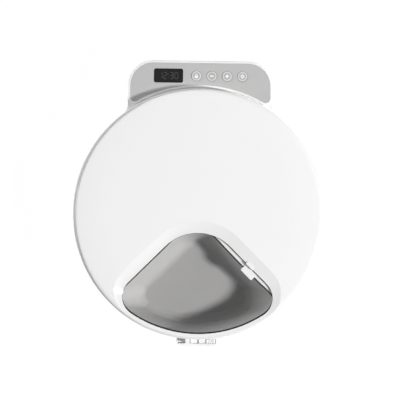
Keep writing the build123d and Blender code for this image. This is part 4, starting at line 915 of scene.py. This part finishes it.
@dataclass
class Console:
    """Panel, display window with its digits, and the four buttons' marks."""

    flange: float = 1.2 * MM
    ring_width: float = 1.1 * MM
    ring_inset: float = 0.5 * MM
    ring_facets: int = 64
    print_height: float = 0.05 * MM
    padlock_size: tuple[float, float] = (4.2 * MM, 3.0 * MM)
    padlock_corner: float = 0.5 * MM
    padlock_drop: float = 1.0 * MM
    shackle_radius: float = 1.25 * MM
    shackle_width: float = 0.8 * MM
    shackle_rise: float = 1.1 * MM
    shackle_facets: int = 24
    sign_stroke: float = 1.5 * MM
    sign_corner: float = 0.4 * MM
    minus_length: float = 4.8 * MM
    plus_length: float = 4.4 * MM
    plus_arm: float = 1.4 * MM
    cog_radius: float = 1.6 * MM
    cog_width: float = 1.5 * MM
    cog_facets: int = 36
    cog_teeth: int = 8
    tooth_reach: float = 2.3 * MM
    tooth_size: tuple[float, float] = (0.7 * MM, 0.8 * MM)
    digit_height: float = 7.6 * MM
    digit_width: float = 3.7 * MM
    digit_gap: float = 2.1 * MM
    digit_stroke: float = 0.85 * MM
    digit_print: float = 0.03 * MM
    segment_trim: float = 1.2
    colon_rise: float = 1.5 * MM
    shown: str = "12:30"

    def build(self) -> None:
        """Dresses the console and adds its marks, with a ring of painted highlight on each cap."""
        dress(PANEL_GREY.material(), "console_panel")
        dress(LENS_BLACK.material(), "display_lens")
        dress(MODULE_BLACK.material(), "display_module")
        marks = {
            Body.LOCK_BUTTON: self.padlock, Body.MINUS_BUTTON: self.minus,
            Body.PLUS_BUTTON: self.plus, Body.SET_BUTTON: self.gear,
        }
        dress(CAP_GREY.material(), *[body.value for body in marks])
        self.digits()
        ring, paint = CAP_HIGHLIGHT_RING.material(), PRINT_WHITE.material()
        for body, draw in marks.items():
            top = self.cap_top(body)
            placing = Placing(body, "button_grey")
            # A thin light ring of painted highlight, in place of the shading round the cap's dimple.
            highlight_ring = Workpiece()
            highlight_ring.band(top, self.cap_radius(body) - self.ring_inset - self.ring_width / 2, self.ring_width,
                        self.print_height, steps=self.ring_facets)
            highlight_ring.finish(f"{body.value}_ring", ring, placing)
            mark = Workpiece()
            draw(mark, top)
            mark.finish(f"{body.value}_mark", paint, placing)

    def cap_top(self, body: Body) -> Vector:
        """Middle of a button's top face."""
        centre = middle(body.value)
        return Vector((centre.x, centre.y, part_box(body.value)[1].z))

    def cap_radius(self, body: Body) -> float:
        """Radius of a button's cap, inside its flange."""
        low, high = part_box(body.value)
        return (high.x - low.x) / 2 - self.flange

    def padlock(self, mark: Workpiece, top: Vector) -> None:
        """Draws a padlock.

        Args:
            mark: mesh that it goes into.
            top: middle of the button's top.
        """
        width, lift = self.shackle_width, self.print_height / 2
        mark.bar(top + Vector((0.0, -self.padlock_drop, lift)), (*self.padlock_size, self.print_height),
                 corner=self.padlock_corner)
        mark.band(top + Vector((0.0, self.shackle_rise, 0.0)), self.shackle_radius, width,
                  self.print_height, 0.0, math.pi, self.shackle_facets)
        for side in (-1, 1):
            mark.bar(top + Vector((side * self.shackle_radius, width, lift)),
                     (width, width, self.print_height))

    def minus(self, mark: Workpiece, top: Vector) -> None:
        """Draws a minus sign.

        Args:
            mark: mesh that it goes into.
            top: middle of the button's top.
        """
        mark.bar(top + Vector((0.0, 0.0, self.print_height / 2)),
                 (self.minus_length, self.sign_stroke, self.print_height), corner=self.sign_corner)

    def plus(self, mark: Workpiece, top: Vector) -> None:
        """Draws a plus sign.

        Args:
            mark: mesh that it goes into.
            top: middle of the button's top.
        """
        centre = top + Vector((0.0, 0.0, self.print_height / 2))
        mark.bar(centre, (self.plus_length, self.sign_stroke, self.print_height))
        away = (self.sign_stroke + self.plus_arm) / 2
        for side in (-1, 1):
            mark.bar(centre + Vector((0.0, side * away, 0.0)),
                     (self.sign_stroke, self.plus_arm, self.print_height))

    def gear(self, mark: Workpiece, top: Vector) -> None:
        """Draws a small cog wheel.

        Args:
            mark: mesh that it goes into.
            top: middle of the button's top.
        """
        mark.band(top, self.cog_radius, self.cog_width, self.print_height, steps=self.cog_facets)
        for tooth in range(self.cog_teeth):
            angle = math.tau * tooth / self.cog_teeth
            arm = Vector((math.cos(angle), math.sin(angle), 0.0)) * self.tooth_reach
            mark.bar(top + arm + Vector((0.0, 0.0, self.print_height / 2)),
                     (*self.tooth_size, self.print_height), angle)

    def digits(self) -> None:
        """Adds the faint seven-segment time behind the display window."""
        centre = middle("display_lens")
        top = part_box("display_lens")[1].z
        mark = Workpiece()
        widths = [self.digit_gap if sign == ":" else self.digit_width + self.digit_gap
                  for sign in self.shown]
        x = centre.x - sum(widths) / 2 + self.digit_gap / 2
        for sign, width in zip(self.shown, widths):
            if sign == ":":
                for side in (-1, 1):
                    mark.bar(Vector((x, centre.y + side * self.colon_rise, top + self.digit_print / 2)),
                             (self.digit_stroke, self.digit_stroke, self.digit_print))
            else:
                self.digit(mark, sign, Vector((x + self.digit_width / 2, centre.y, top)))
            x += width
        mark.finish("display_digits", DIGIT_GREY.material(), Placing(Body.BASE, "display_black"))

    def digit(self, mark: Workpiece, sign: str, centre: Vector) -> None:
        """Adds one seven-segment digit.

        Args:
            mark: mesh that it goes into.
            sign: the digit.
            centre: its middle on the window.
        """
        right, high = self.digit_width / 2, self.digit_height / 2
        trim = self.digit_stroke * self.segment_trim
        level = (self.digit_width - trim, self.digit_stroke, self.digit_print)
        upright = (self.digit_stroke, high - trim, self.digit_print)
        places = {
            "a": (0.0, high, level), "g": (0.0, 0.0, level), "d": (0.0, -high, level),
            "b": (right, high / 2, upright), "c": (right, -high / 2, upright),
            "f": (-right, high / 2, upright), "e": (-right, -high / 2, upright),
        }
        for segment in SEGMENTS[sign]:
            x, y, size = places[segment]
            mark.bar(centre + Vector((x, y, self.digit_print / 2)), size)


@dataclass
class Works:
    """Motor, batteries, boards and speaker inside the base."""

    cell_end: float = 12 * MM
    can_length: float = 25 * MM

    def build(self) -> None:
        """Dresses the works."""
        dress(BAY_BLACK.material(), "battery_box")
        cells_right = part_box("battery_cells")[1].x
        dress(CELL_SLEEVE.material(cells_right - self.cell_end), "battery_cells")
        motor_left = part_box("gear_motor")[0].x
        dress(MOTOR_CASE.material(-motor_left - self.can_length), "gear_motor")
        dress(SOLDER_MASK.material(), "main_board", "index_board")
        dress(PART_BLACK.material(), "speaker")


@dataclass(frozen=True)
class Lamp:
    """One soft studio lamp, placed round the feeder."""

    name: str
    bearing: float
    elevation: float
    distance: float
    width: float
    level: float

    def place(self, target: Vector) -> None:
        """Adds the lamp, pointing at the target.

        Args:
            target: point that it lights.
        """
        bearing, elevation = math.radians(self.bearing), math.radians(self.elevation)
        away = Vector((math.cos(bearing) * math.cos(elevation), math.sin(bearing) * math.cos(elevation),
                       math.sin(elevation)))
        light = bpy.data.lights.new(self.name, "AREA")
        light.shape = "DISK"
        light.size = self.width
        light.energy = self.level * (math.pi * self.distance) ** 2
        lamp = bpy.data.objects.new(self.name, light)
        lamp.location = target + away * self.distance
        lamp.rotation_mode = "QUATERNION"
        lamp.rotation_quaternion = away.to_track_quat("Z", "Y")
        bpy.context.scene.collection.objects.link(lamp)


@dataclass
class Studio:
    """White floor and world, soft lamps and the camera straight above."""

    view_width: float = 492 * MM
    view_height: float = 66 * MM
    camera_distance: float = 2.4
    aim: tuple[float, float] = (1.6 * MM, 4.0 * MM)
    roll: float = 0.8
    view_depth: float = 10.0
    floor_radius: float = 3.0
    floor_facets: int = 96
    floor_drop: float = 0.1 * MM
    floor_glow: float = 0.92
    glow_strength: float = 1.05
    floor_shade: tuple[float, float] = (0.15, 0.8)
    horizon: float = 0.45
    zenith: float = 0.12
    lamps: tuple[Lamp, ...] = (
        Lamp("key_lamp", bearing=-19.0, elevation=34.0, distance=6.0, width=0.85, level=1.19),
        Lamp("rear_lamp", bearing=112.0, elevation=10.0, distance=5.0, width=1.5, level=0.38),
        Lamp("side_lamp", bearing=176.0, elevation=9.0, distance=5.0, width=1.4, level=0.46),
        Lamp("under_lamp", bearing=200.0, elevation=-70.0, distance=5.0, width=1.6, level=0.55),
    )

    def build(self) -> None:
        """Sets up everything that isn't part of the feeder."""
        bpy.context.scene.view_settings.view_transform = "Standard"
        self.world()
        self.floor()
        target = Vector((*self.aim, self.view_height))
        for lamp in self.lamps:
            lamp.place(target)
        self.camera(target)

    def world(self) -> None:
        """White surroundings whose light is stronger from the sides than from above."""
        world = bpy.data.worlds.new("studio")
        bpy.context.scene.world = world
        world.use_nodes = True
        background = world.node_tree.nodes["Background"]
        background.inputs["Color"].default_value = (1.0, 1.0, 1.0, 1.0)
        tree = Tree(world.node_tree)
        split = tree.node("ShaderNodeSeparateXYZ")
        tree.join(tree.node("ShaderNodeTexCoord").outputs["Generated"], split.inputs[0])
        light = tree.span(split.outputs["Z"], UNIT, (self.horizon, self.zenith))
        tree.join(tree.span(tree.seen(), UNIT, (light, 1.0)), background.inputs["Strength"])

    def floor(self) -> None:
        """White floor that keeps a faint shadow and is clear from below, to show the underside."""
        work = bmesh.new()
        bmesh.ops.create_circle(work, cap_ends=True, segments=self.floor_facets, radius=self.floor_radius,
                                matrix=Matrix.Translation((0.0, 0.0, -self.floor_drop)))
        data = bpy.data.meshes.new("floor")
        work.to_mesh(data)
        work.free()
        material = bpy.data.materials.new("floor_white")
        material.use_nodes = True
        material.node_tree.nodes.clear()
        tree = Tree(material.node_tree)
        paper, glow = tree.node("ShaderNodeBsdfDiffuse"), tree.node("ShaderNodeEmission")
        tree.join(tree.span(tree.seen(), UNIT, self.floor_shade), paper.inputs["Color"])
        glow.inputs["Strength"].default_value = self.glow_strength
        share = tree.math("MULTIPLY", tree.seen(), self.floor_glow)
        top = tree.cover(share, paper.outputs[0], glow.outputs[0])
        below = tree.either(tree.node("ShaderNodeNewGeometry").outputs["Backfacing"],
                            tree.node("ShaderNodeLightPath").outputs["Is Shadow Ray"])
        surface = tree.cover(below, top, tree.node("ShaderNodeBsdfTransparent").outputs[0])
        tree.join(surface, tree.node("ShaderNodeOutputMaterial").inputs["Surface"])
        data.materials.append(material)
        floor = bpy.data.objects.new("floor", data)
        bpy.context.scene.collection.objects.link(floor)

    def camera(self, target: Vector) -> None:
        """Adds the camera that looks straight down.

        Args:
            target: point in the middle of the picture.
        """
        data = bpy.data.cameras.new("camera")
        data.lens = data.sensor_width * self.camera_distance / self.view_width
        data.clip_end = self.view_depth
        camera = bpy.data.objects.new("camera", data)
        camera.location = target + Vector((0.0, 0.0, self.camera_distance))
        camera.rotation_euler = (0.0, 0.0, math.radians(self.roll))
        bpy.context.scene.collection.objects.link(camera)
        bpy.context.scene.camera = camera


def main(parts: Iterable[object]) -> None:
    """Builds the classes in order.

    Args:
        parts: sub-assemblies and the studio, each with a build method.
    """
    logging.basicConfig(level=logging.INFO, format="%(message)s")
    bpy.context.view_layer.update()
    for part in parts:
        LOG.info("building %s", type(part).__name__)
        part.build()


if __name__ == "__main__":
    main((Housing(), Lid(), Lock(), Tray(), Console(), Works(), Studio()))
